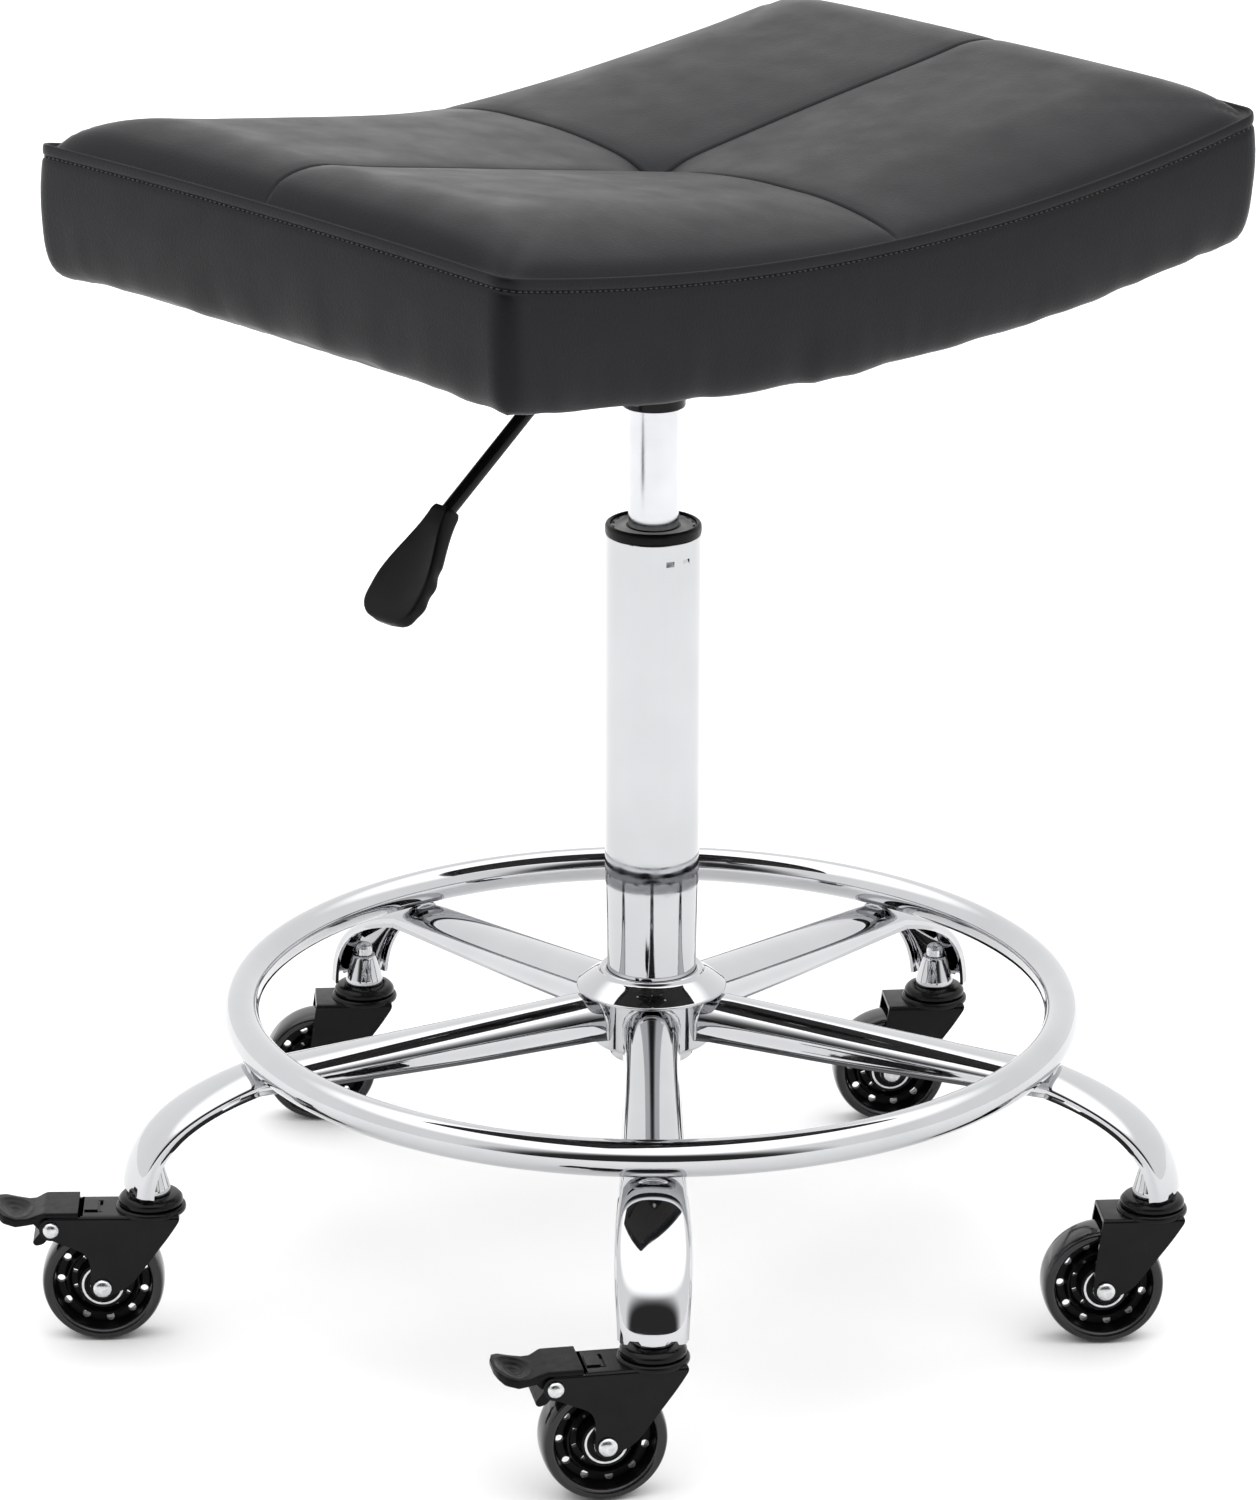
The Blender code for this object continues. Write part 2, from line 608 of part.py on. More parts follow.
def leg_crest(share):
    """A point on the leg's ridge in its bend, as (radius, height), for share from 0 to 1."""
    start_height = ring_seat_height() + LEG_SLOPE * (LEG_STRAIGHT_END - RING_RADIUS)
    anchors = (Vector((LEG_STRAIGHT_END, start_height)), Vector((247 * MM, 134.5 * MM)),
               Vector((284 * MM, 120 * MM)), Vector((LEG_TIP_RADIUS, LEG_TIP_HEIGHT)))
    t = share
    weights = ((1 - t) ** 3, 3 * t * (1 - t) ** 2, 3 * t * t * (1 - t), t ** 3)
    return sum((w * a for w, a in zip(weights, anchors)), Vector((0.0, 0.0)))


def ring_seat_height():
    """The leg's ridge under the ring's centre line."""
    return RING_HEIGHT - (RING_TUBE + GAP) * math.sqrt(1 + LEG_SLOPE ** 2) - 0.05 * MM


def leg_stations():
    """Ridge points from hub to tip, each with the leg's width and depth there."""
    seat = ring_seat_height()
    stations = []
    for radius, width, depth in ((HUB_RADIUS, 28, 22), (110 * MM, 29, 18.5), (190 * MM, 31, 13)):
        height = min(seat + LEG_SLOPE * (radius - RING_RADIUS), LEG_HUB_HEIGHT)
        stations.append((Vector((radius, height)), width * MM, depth * MM))
    for share, width, depth in ((0.0, 33, 10.5), (0.2, 35.5, 9), (0.4, 37, 8.5), (0.6, 37, 8.5),
                                (0.8, 35.5, 10), (1.0, 33.2, 11)):
        stations.append((leg_crest(share), width * MM, depth * MM))
    return stations


def leg_section(centre, inward, width, depth, hub_end):
    """The inverted-U channel's outline: its outer side, then its inner side back."""
    angles = [math.radians(a) for a in (-90, -54, -18, 18, 54, 90)]
    outline = []
    for wall in (0.0, LEG_WALL):
        half = width / 2 - wall
        arch = depth * 0.6 - wall
        side = [(half * math.sin(a), wall + arch * (1 - math.cos(a))) for a in angles]
        side = [(-half, depth)] + side + [(half, depth)]
        outline += side if wall == 0.0 else side[::-1]
    points = []
    for across, down in outline:
        spot = centre + inward * down
        radius = spot.x
        if hub_end:
            radius = math.sqrt(HUB_RADIUS ** 2 - across ** 2) + GAP * 1.5
        points.append((radius, across, spot.y))
    return points


def leg_mesh():
    """A pressed channel leg, open below, that bends down into a half shell round the stem."""
    stations = leg_stations()
    loops = []
    for index, (centre, width, depth) in enumerate(stations):
        ahead = stations[min(index + 1, len(stations) - 1)][0]
        behind = stations[max(index - 1, 0)][0]
        tangent = (ahead - behind).normalized()
        inward = Vector((tangent.y, -tangent.x))
        loops.append(leg_section(centre, inward, width, depth, index == 0))
    count = len(loops[0])
    half = count // 2
    verts = [point for loop in loops for point in loop]
    faces = []
    for row in range(len(loops) - 1):
        for step in range(count):
            after = (step + 1) % count
            a, b = row * count, (row + 1) * count
            faces.append([a + step, a + after, b + after, b + step])
    for first in (0, (len(loops) - 1) * count):
        for step in range(half - 1):
            mirror = count - 1 - step
            faces.append([first + step, first + step + 1, first + mirror - 1, first + mirror])
    return mesh_from(verts, faces)


def ring_mesh():
    """The foot ring."""
    profile = [(RING_RADIUS + x, RING_HEIGHT + z) for x, z in arc((0.0, 0.0), RING_TUBE, -90.0, 225.0, 7)]
    return lathe(profile, RING_FACETS)


def build_base(root):
    place("base_hub", hub_mesh(), CHROME, root)
    place("foot_ring", ring_mesh(), CHROME, root, smooth=60.0)
    leg = leg_mesh()
    for number in range(1, LEG_COUNT + 1):
        place(f"leg_{number}", leg, CHROME, root, rotation=(0.0, 0.0, leg_angle(number)), smooth=50.0)


def leg_angle(number):
    return FIRST_LEG_ANGLE - 2 * math.pi * (number - 1) / LEG_COUNT


# Casters: +X is the side the wheel trails to, Y is along the axle, the origin is under the stem

def stem_mesh():
    """The kingpin with its upper race, riveted through the fork below and the socket above."""
    head = SOCKET_TOP + GAP
    return lathe([(0.0, 63.4 * MM), (7.2 * MM, 64.2 * MM), (7.2 * MM, 66.8 * MM),
                  (KINGPIN_RADIUS, 66.8 * MM), (KINGPIN_RADIUS, DISH_TOP + GAP), (CUP_RADIUS, DISH_TOP + GAP),
                  (CUP_RADIUS, 78.0 * MM), (15.2 * MM, CUP_TOP),
                  (STEM_ROD_RADIUS, CUP_TOP), (STEM_ROD_RADIUS, head), (4.8 * MM, head),
                  (4.8 * MM, 101.0 * MM), (0.0, 104.5 * MM)], SMALL)


def socket_mesh():
    """The conical tube that takes the stem inside the leg's tip."""
    hole = STEM_ROD_RADIUS + GAP
    return lathe([(hole, CUP_TOP + GAP), (10.4 * MM, CUP_TOP + GAP), (10.4 * MM, CUP_TOP + 3 * MM),
                  (6.3 * MM, SOCKET_TOP), (hole, SOCKET_TOP)], SMALL)


def fork_outline(braked):
    """The side plate's outline, as (trail, height)."""
    axle = (TRAIL, WHEEL_RADIUS)
    front = [(-16.5 * MM, FORK_TOP), (-16.5 * MM, 69.5 * MM), (-10.3 * MM, 61.5 * MM), (11.0 * MM, 32.8 * MM)]
    foot = arc(axle, 6.3 * MM, 222.0, 372.0, 6)
    if not braked:
        return front + foot + [(31.5 * MM, 44.0 * MM), (27.5 * MM, FORK_TOP)]
    nose = arc((RIVET_OUT, RIVET_HEIGHT), 6.2 * MM, -95.0, 90.0, 6)
    return (front + foot + [(31.5 * MM, 46.0 * MM), (34.0 * MM, 51.5 * MM)] + nose
            + [(36.3 * MM, RIVET_HEIGHT + 6.2 * MM), (36.3 * MM, FORK_TOP)])


def fork_mesh(braked):
    """A folded sheet fork with a dished race on top."""
    shape = prism(fork_outline(braked), FORK_HALF_WIDTH)
    inside = FORK_HALF_WIDTH - FORK_SHEET
    under = FORK_TOP - FORK_SHEET - 0.2 * MM
    slot = prism([(-40 * MM, 0.0), (80 * MM, 0.0), (80 * MM, 80 * MM), (35 * MM, 80 * MM),
                  (35 * MM, under), (-40 * MM, under)], inside)
    dish_bottom = under + 0.1 * MM
    dish = lathe([(0.0, dish_bottom), (DISH_RADIUS - 1.2 * MM, dish_bottom), (DISH_RADIUS, 71.2 * MM),
                  (DISH_RADIUS, 72.8 * MM), (DISH_RADIUS - 1.2 * MM, DISH_TOP), (0.0, DISH_TOP)], MEDIUM)
    shape = combine(shape, dish, "UNION")
    shape = combine(shape, slot, "DIFFERENCE")
    shape = combine(shape, cylinder_z(KINGPIN_RADIUS + GAP, 60 * MM, 90 * MM, SMALL), "DIFFERENCE")
    axle_hole = cylinder_y(AXLE_RADIUS + GAP, 30 * MM, TRAIL, WHEEL_RADIUS, SMALL)
    shape = combine(shape, axle_hole, "DIFFERENCE")
    if braked:
        rivet_hole = cylinder_y(RIVET_RADIUS + GAP, 30 * MM, RIVET_OUT, RIVET_HEIGHT, SMALL)
        shape = combine(shape, rivet_hole, "DIFFERENCE")
    return shape


def core_mesh():
    """The wheel's moulded core with its bearing, turned about the axle."""
    half = [(AXLE_RADIUS + GAP, 12.6), (7.0 * MM, 12.6), (7.4 * MM, 11.2), (11.0 * MM, 11.2),
            (12.0 * MM, 9.0), (TYRE_INNER - GAP, 9.5)]
    profile = [(r, z * MM) for r, z in half] + [(r, -z * MM) for r, z in reversed(half)]
    return lathe(profile, WHEEL_FACETS, phase=math.pi / WHEEL_FACETS)


def tyre_mesh():
    """The tyre, with a flat facet down so that its lowest face lies on the floor."""
    tread = WHEEL_RADIUS / math.cos(math.pi / WHEEL_FACETS)
    half = [(TYRE_INNER, 10.0 * MM), (28.5 * MM, 11.5 * MM), (tread - 1.8 * MM, 9.5 * MM), (tread, 5.0 * MM)]
    profile = half + [(r, -z) for r, z in reversed(half)]
    return lathe(profile, WHEEL_FACETS, phase=math.pi / WHEEL_FACETS)


def bolt_mesh(radius, head_radius, reach):
    """A riveted bar along Z with a domed head at each end."""
    half = [(radius, reach), (head_radius, reach), (head_radius, reach + 1.4 * MM),
            (0.0, reach + 3.2 * MM)]
    return lathe([(r, -z) for r, z in reversed(half)] + half, SMALL)


def pedal_mesh():
    """The brake pedal: a lid over the fork's tail with a dished toe, and a lug on the rivet."""
    lid = prism([(x * MM, z * MM) for x, z in (
        (37.4, 74.3), (56.0, 74.3), (61.5, 71.0), (67.0, 71.0), (74.0, 72.6), (79.5, 74.8), (81.0, 72.4),
        (78.0, 68.5), (70.0, 66.8), (61.5, 66.8), (58.4, 71.5), (37.4, 71.5))], PEDAL_HALF_WIDTH)
    lug = prism([(x * MM, z * MM) for x, z in (
        (45.0, 72.6), (57.8, 72.6), (62.0, 68.0), (56.8, 63.0), (61.0, 57.6), (60.0, 55.4), (56.5, 56.4),
        (51.0, 60.7), (47.6, 63.7))], FORK_HALF_WIDTH - FORK_SHEET - 0.6 * MM)
    shape = combine(lid, lug, "UNION")
    hole = cylinder_y(RIVET_RADIUS + GAP, 30 * MM, RIVET_OUT, RIVET_HEIGHT, SMALL)
    shape = combine(shape, hole, "DIFFERENCE")
    return moved(shape, Matrix.Translation((-RIVET_OUT, 0.0, -RIVET_HEIGHT)))


def build_caster(root, number, shapes):
    angle = leg_angle(number)
    spot = (STEM_RADIUS_ON_BASE * math.cos(angle), STEM_RADIUS_ON_BASE * math.sin(angle), 0.0)
    caster = empty(f"caster_{number}", spot, TRAIL_ANGLES[number - 1], root)
    braked = number in BRAKED_CASTERS
    place(f"stem_socket_{number}", shapes["socket"], CHROME, caster)
    place(f"stem_{number}", shapes["stem"], BLACK_METAL, caster)
    place(f"fork_{number}", shapes["braked_fork" if braked else "fork"], BLACK_METAL, caster)
    axle = empty(f"axle_line_{number}", (TRAIL, 0.0, WHEEL_RADIUS), 0.0, caster)
    across = (math.pi / 2, 0.0, 0.0)
    place(f"wheel_core_{number}", shapes["core"], BLACK_PLASTIC, axle, rotation=across)
    place(f"tyre_{number}", shapes["tyre"], SMOKED_TYRE, axle, rotation=across)
    place(f"axle_{number}", shapes["axle"], ZINC, axle, rotation=across)
    if braked:
        rivet = (RIVET_OUT, 0.0, RIVET_HEIGHT)
        place(f"brake_pedal_{number}", shapes["pedal"], BLACK_PLASTIC, caster, location=rivet)
        place(f"brake_rivet_{number}", shapes["rivet"], ZINC, caster, location=rivet, rotation=across)


def build_casters(root):
    reach = FORK_HALF_WIDTH + GAP
    shapes = {
        "socket": socket_mesh(),
        "stem": stem_mesh(),
        "fork": fork_mesh(False),
        "braked_fork": fork_mesh(True),
        "core": core_mesh(),
        "tyre": tyre_mesh(),
        "axle": bolt_mesh(AXLE_RADIUS, AXLE_HEAD_RADIUS, reach),
        "pedal": pedal_mesh(),
        "rivet": bolt_mesh(RIVET_RADIUS, 4.3 * MM, reach),
    }
    for number in range(1, LEG_COUNT + 1):
        build_caster(root, number, shapes)


def main():
    clear_scene()
    root = empty("stool", (COLUMN_X, COLUMN_Y, 0.0))
    build_base(root)
    build_casters(root)
    build_lift(root)
    build_seat(root)
    build_lever(root)


main()
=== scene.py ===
"""Looks for the rolling stylist stool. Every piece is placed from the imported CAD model.

Shapes are drawn in millimetres and scaled to metres once, in mesh_from. The seat, lift and hub are
drawn about the lift's vertical axis, a leg along +X from it, and a caster in its own axes: +X is the
side its wheel trails to, +Y runs along its axle, and its origin is on the floor under the stem.
"""
import math

import bmesh
import bpy
import numpy as np
from mathutils import Matrix, Vector, noise


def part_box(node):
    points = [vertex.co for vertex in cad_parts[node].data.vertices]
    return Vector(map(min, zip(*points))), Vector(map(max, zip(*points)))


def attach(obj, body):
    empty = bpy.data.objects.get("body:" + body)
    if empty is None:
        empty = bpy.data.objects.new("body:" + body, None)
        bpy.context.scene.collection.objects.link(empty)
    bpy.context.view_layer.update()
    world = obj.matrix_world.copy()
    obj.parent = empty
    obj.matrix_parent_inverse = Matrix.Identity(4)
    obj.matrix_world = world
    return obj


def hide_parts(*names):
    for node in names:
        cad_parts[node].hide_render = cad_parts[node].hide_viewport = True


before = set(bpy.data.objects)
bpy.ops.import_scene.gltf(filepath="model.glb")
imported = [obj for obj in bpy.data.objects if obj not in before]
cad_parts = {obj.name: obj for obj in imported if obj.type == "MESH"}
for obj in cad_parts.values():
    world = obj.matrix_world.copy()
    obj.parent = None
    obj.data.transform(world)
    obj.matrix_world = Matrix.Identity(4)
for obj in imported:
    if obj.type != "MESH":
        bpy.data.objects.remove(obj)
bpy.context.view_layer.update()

MM = 0.001
LEG_NUMBERS = range(1, 6)
BRAKED = (1, 2)


# Places, read from the frame

def middle(node):
    """The centre of a node's box, in millimetres."""
    low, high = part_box(node)
    return (low + high) / 2 / MM


def span(node):
    low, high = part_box(node)
    return (high - low) / MM


def low_z(node):
    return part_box(node)[0].z / MM


def high_z(node):
    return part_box(node)[1].z / MM


AXIS = Vector((middle("gas_cylinder").x, middle("gas_cylinder").y, 0.0))
LIFT = Matrix.Translation(AXIS * MM)


def leg_place(number):
    out = middle(f"stem_{number}") - AXIS
    return LIFT @ Matrix.Rotation(math.atan2(out.y, out.x), 4, "Z")


def caster_place(number):
    stem = middle(f"stem_{number}")
    trail = middle(f"axle_{number}") - stem
    turn = Matrix.Rotation(math.atan2(trail.y, trail.x), 4, "Z")
    return Matrix.Translation((stem.x * MM, stem.y * MM, 0.0)) @ turn


STEM_OUT = (middle("stem_1") - AXIS).to_2d().length
TRAIL = (middle("axle_1") - middle("stem_1")).to_2d().length
WHEEL_RADIUS = middle("axle_1").z
RIVET_OUT = (middle("brake_rivet_1") - middle("stem_1")).to_2d().length
RIVET_HEIGHT = middle("brake_rivet_1").z


# Mesh tools

def mesh_from(verts, faces):
    """A mesh in metres from millimetre points, with its faces pointing out."""
    made = bpy.data.meshes.new("shape")
    made.from_pydata([(x * MM, y * MM, z * MM) for x, y, z in verts], [], faces)
    form = bmesh.new()
    form.from_mesh(made)
    bmesh.ops.recalc_face_normals(form, faces=form.faces)
    form.to_mesh(made)
    form.free()
    return made


def moved(mesh, matrix):
    mesh.transform(matrix)
    return mesh


def shifted(mesh, x=0.0, y=0.0, z=0.0):
    return moved(mesh, Matrix.Translation((x * MM, y * MM, z * MM)))


def joined(*meshes):
    """One mesh that holds several separate bodies."""
    form = bmesh.new()
    for mesh in meshes:
        form.from_mesh(mesh)
    made = bpy.data.meshes.new("joined")
    form.to_mesh(made)
    form.free()
    return made


def combine(base, other, operation="DIFFERENCE"):
    """base cut by other, or united with it."""
    pair = [bpy.data.objects.new(label, mesh) for label, mesh in (("first", base), ("second", other))]
    for item in pair:
        bpy.context.scene.collection.objects.link(item)
    step = pair[0].modifiers.new("combine", "BOOLEAN")
    step.operation = operation
    step.solver = "EXACT"
    step.object = pair[1]
    graph = bpy.context.evaluated_depsgraph_get()
    result = bpy.data.meshes.new_from_object(pair[0].evaluated_get(graph))
    for item in pair:
        bpy.data.objects.remove(item, do_unlink=True)
    return result


def arc(centre, radius, start, end, steps):
    """Points on a circle from start to end, in degrees."""
    angles = [math.radians(start + (end - start) * k / steps) for k in range(steps + 1)]
    return [(centre[0] + radius * math.cos(a), centre[1] + radius * math.sin(a)) for a in angles]


def rounded(points, radius, closed=False, steps=4):
    """A polyline with its corners rounded. A third number on a point is its own radius."""
    count = len(points)
    result = []
    for index, point in enumerate(points):
        here = Vector(point[:2])
        own = point[2] if len(point) > 2 else radius
        if own <= 0.0 or (not closed and index in (0, count - 1)):
            result.append(tuple(here))
            continue
        before = Vector(points[index - 1][:2])
        after = Vector(points[(index + 1) % count][:2])
        start = here + (before - here).normalized() * min(own, (before - here).length * 0.48)
        end = here + (after - here).normalized() * min(own, (after - here).length * 0.48)
        for step in range(steps + 1):
            t = step / steps
            result.append(tuple(start * (1 - t) ** 2 + here * 2 * t * (1 - t) + end * t * t))
    return result


def lathe(profile, segments=96):
    """Turn (radius, height) points about Z. A profile that stays off the axis closes into a ring."""
    verts = []
    rows = []
    for radius, height in profile:
        if radius < 1e-6:
            rows.append([len(verts)] * segments)
            verts.append((0.0, 0.0, height))
            continue
        rows.append(list(range(len(verts), len(verts) + segments)))
        for step in range(segments):
            angle = 2 * math.pi * step / segments
            verts.append((radius * math.cos(angle), radius * math.sin(angle), height))
    if profile[0][0] > 1e-6:
        rows.append(rows[0])
    faces = []
    for low, high in zip(rows, rows[1:]):
        for step in range(segments):
            after = (step + 1) % segments
            corners = [low[step], low[after], high[after], high[step]]
            face = [c for i, c in enumerate(corners) if c not in corners[:i]]
            if len(face) > 2:
                faces.append(face)
    return mesh_from(verts, faces)


def turned(points, radius, segments, steps=4):
    """A lathe of a profile whose corners are rounded first."""
    return lathe(rounded(points, radius, steps=steps), segments)


def ring_faces(first, second, count):
    """Faces between two rings of count points, given the index that each ring starts at."""
    return [[first + k, first + (k + 1) % count, second + (k + 1) % count, second + k] for k in range(count)]


def loft(loops, start_point=None, end_point=None):
    """Join loops of equal length. Each end closes on a point, or with one flat face."""
    count = len(loops[0])
    verts = [tuple(point) for loop in loops for point in loop]
    faces = []
    for row in range(len(loops) - 1):
        faces += ring_faces(row * count, (row + 1) * count, count)
    last = (len(loops) - 1) * count
    for first, point in ((0, start_point), (last, end_point)):
        if point is None:
            faces.append([first + step for step in range(count)])
            continue
        verts.append(tuple(point))
        tip = len(verts) - 1
        for step in range(count):
            faces.append([first + step, first + (step + 1) % count, tip])
    return mesh_from(verts, faces)


def prism(outline, near, far, edge=0.0):
    """Extrude an (x, z) outline along Y from near to far, with its rims eased by edge."""
    if edge <= 0.0:
        return loft([[(x, y, z) for x, z in outline] for y in (near, far)])
    centre = Vector((sum(p[0] for p in outline), sum(p[1] for p in outline))) / len(outline)
    loops = []
    for y, inset in ((near, edge), (near + edge * 0.3, edge * 0.3), (near + edge, 0.0),
                     (far - edge, 0.0), (far - edge * 0.3, edge * 0.3), (far, edge)):
        loop = []
        for x, z in outline:
            away = Vector((x, z)) - centre
            eased = centre + away * max(1.0 - inset / max(away.length, 1e-6), 0.0)
            loop.append((eased.x, y, eased.y))
        loops.append(loop)
    return loft(loops)


def block(low, high):
    """A plain box, for cutters and small raised pads."""
    (x0, y0, z0), (x1, y1, z1) = low, high
    return loft([[(x0, y0, z), (x1, y0, z), (x1, y1, z), (x0, y1, z)] for z in (z0, z1)])


def tube(points, radius, sides=16, closed=False):
    """A round bar along points. radius is a number, or a function of the share along it."""
    route = [Vector(p) for p in points]
    count = len(route)
    loops = []
    normal = None
    for index, point in enumerate(route):
        if closed:
            tangent = (route[(index + 1) % count] - route[index - 1]).normalized()
        else:
            tangent = (route[min(index + 1, count - 1)] - route[max(index - 1, 0)]).normalized()
        if normal is None:
            normal = tangent.orthogonal().normalized()
        normal = (normal - tangent * normal.dot(tangent)).normalized()
        binormal = tangent.cross(normal)
        size = radius(index / (count - 1)) if callable(radius) else radius
        loops.append([point + size * (math.cos(a) * normal + math.sin(a) * binormal)
                      for a in (2 * math.pi * k / sides for k in range(sides))])
    if not closed:
        return loft(loops)
    verts = [tuple(p) for loop in loops for p in loop]
    faces = []
    for row in range(count):
        faces += ring_faces(row * sides, (row + 1) % count * sides, sides)
    return mesh_from(verts, faces)


def weld_bead(points, radius):
    """A weld: a bar with the small even ripples that a torch leaves, thinner at its ends."""
    def size(share):
        ends = min(1.0, 4.0 * min(share, 1.0 - share) + 0.35)
        return radius * ends * (1.0 + 0.09 * math.sin(share * len(points) * 1.9))
    return tube(points, size, sides=10)


def on_axle(mesh, x, z):
    """Turn a lathe's Z axis to Y and carry it to (x, z)."""
    return moved(mesh, Matrix.Translation((x * MM, 0.0, z * MM)) @ Matrix.Rotation(math.pi / 2, 4, "X"))


# Materials

class Finish:
    """A node-based material under construction: the Principled shader and short calls to build on it."""

    def __init__(self, name, colour, roughness, metallic=0.0, **constants):
        self.material = bpy.data.materials.new(name)
        self.material.use_nodes = True
        self.tree = self.material.node_tree
        self.shader = self.tree.nodes["Principled BSDF"]
        self.colour = colour
        self.roughness = roughness
        self.shader.inputs["Base Color"].default_value = (*colour, 1.0)
        self.shader.inputs["Roughness"].default_value = roughness
        self.shader.inputs["Metallic"].default_value = metallic
        for socket, value in constants.items():
            self.shader.inputs[socket.replace("_", " ")].default_value = value
        self.coords = self.tree.nodes.new("ShaderNodeTexCoord").outputs["Object"]
        self.relief = None

    def link(self, source, node, socket):
        self.tree.links.new(source, node.inputs[socket])

    def stretched(self, stretch):
        node = self.tree.nodes.new("ShaderNodeMapping")
        node.inputs["Scale"].default_value = stretch
        self.link(self.coords, node, "Vector")
        return node.outputs["Vector"]

    def cloud(self, size, detail=4.0, stretch=(1.0, 1.0, 1.0), distortion=0.0):
        """Noise whose lumps are about size millimetres across."""
        node = self.tree.nodes.new("ShaderNodeTexNoise")
        node.inputs["Scale"].default_value = 1.0 / (size * MM)
        node.inputs["Detail"].default_value = detail
        node.inputs["Distortion"].default_value = distortion
        self.link(self.stretched(stretch), node, "Vector")
        return node.outputs["Fac"]

    def cells(self, size, feature="F1"):
        node = self.tree.nodes.new("ShaderNodeTexVoronoi")
        node.feature = feature
        node.inputs["Scale"].default_value = 1.0 / (size * MM)
        self.link(self.stretched((1.0, 1.0, 1.0)), node, "Vector")
        return node.outputs["Distance"]

    def ranged(self, value, low, high, to_low, to_high):
        node = self.tree.nodes.new("ShaderNodeMapRange")
        limits = {"From Min": low, "From Max": high, "To Min": to_low, "To Max": to_high}
        for socket, number in limits.items():
            node.inputs[socket].default_value = number
        self.link(value, node, "Value")
        return node.outputs["Result"]

    def tint(self, value, darker, lighter):
        """Colour that runs from darker to lighter shares of the base colour."""
        node = self.tree.nodes.new("ShaderNodeMix")
        node.data_type = "RGBA"
        node.inputs[6].default_value = (*[c * darker for c in self.colour], 1.0)
        node.inputs[7].default_value = (*[min(c * lighter, 1.0) for c in self.colour], 1.0)
        self.tree.links.new(self.ranged(value, 0.3, 0.7, 0.0, 1.0), node.inputs[0])
        self.link(node.outputs[2], self.shader, "Base Color")
        return self

    def gloss(self, value, spread):
        low = max(self.roughness - spread, 0.0)
        self.link(self.ranged(value, 0.3, 0.7, low, self.roughness + spread), self.shader, "Roughness")
        return self

    def bump(self, value, depth):
        """Relief of about depth millimetres, on top of any relief already there."""
        node = self.tree.nodes.new("ShaderNodeBump")
        node.inputs["Strength"].default_value = 1.0
        node.inputs["Distance"].default_value = depth * MM
        self.link(value, node, "Height")
        if self.relief is not None:
            self.link(self.relief, node, "Normal")
        self.relief = node.outputs["Normal"]
        self.link(self.relief, self.shader, "Normal")
        return self


def mottled(name, colour, roughness, tint, gloss, *reliefs, **constants):
    """A finish whose colour, gloss and relief each follow clouds of their own.

    Every cloud starts with its size in millimetres and its detail. Then a tint has its darkest and
    lightest shares, gloss has its spread, and each relief has its depth in millimetres.
    """
    made = Finish(name, colour, roughness, **constants)
    size, detail, darker, lighter = tint
    made.tint(made.cloud(size, detail), darker, lighter)
    size, detail, spread = gloss
    made.gloss(made.cloud(size, detail), spread)
    for size, detail, depth in reliefs:
        made.bump(made.cloud(size, detail), depth)
    return made.material


def satin_steel():
    """A ground rod: fine rings round it, with a little haze."""
    made = Finish("ground_steel", (0.60, 0.61, 0.63), 0.2, metallic=1.0, Anisotropic=0.35)
    rings = made.cloud(6.0, detail=6.0, stretch=(0.12, 0.12, 30.0))
    made.tint(made.cloud(18.0), 0.95, 1.04)
    made.gloss(rings, 0.06)
    return made.bump(rings, 0.004).material


def leather():
    """Black PU leather: pebbled grain between fine creases, over a slow unevenness of the foam."""
    made = Finish("black_pu_leather", (0.0035, 0.0037, 0.0043), 0.40, Specular_IOR_Level=0.165,
                  Specular_Tint=(0.93, 0.95, 1.0, 1.0))
    pebbles = made.cells(1.15)
    creases = made.cells(2.3, feature="DISTANCE_TO_EDGE")
    made.tint(made.cloud(70.0, detail=5.0), 0.95, 1.06)
    made.gloss(made.cloud(26.0, detail=7.0), 0.05)
    made.bump(made.cloud(38.0, detail=2.0), 0.08)
    made.bump(made.ranged(creases, 0.0, 0.12, 0.0, 1.0), 0.025)
    return made.bump(made.ranged(pebbles, 0.0, 0.8, 1.0, 0.0), 0.045).material


def thread():
    made = Finish("black_thread", (0.009, 0.009, 0.010), 0.62, Sheen_Weight=0.2)
    twist = made.cloud(0.5, detail=2.0, stretch=(1.0, 1.0, 2.5))
    made.tint(twist, 0.6, 1.6)
    made.gloss(made.cloud(0.9, detail=3.0), 0.06)
    return made.bump(twist, 0.08).material


def plywood():
    """Veneer stained black: long grain along the seat, with darker pores."""
    made = Finish("stained_veneer", (0.02, 0.018, 0.017), 0.6, Specular_IOR_Level=0.3)
    grain = made.cloud(9.0, detail=8.0, stretch=(0.08, 1.0, 1.0), distortion=0.6)
    pores = made.cloud(1.2, detail=4.0, stretch=(0.12, 1.0, 1.0))
    made.tint(grain, 0.72, 1.15)
    made.gloss(pores, 0.08)
    return made.bump(pores, 0.05).material


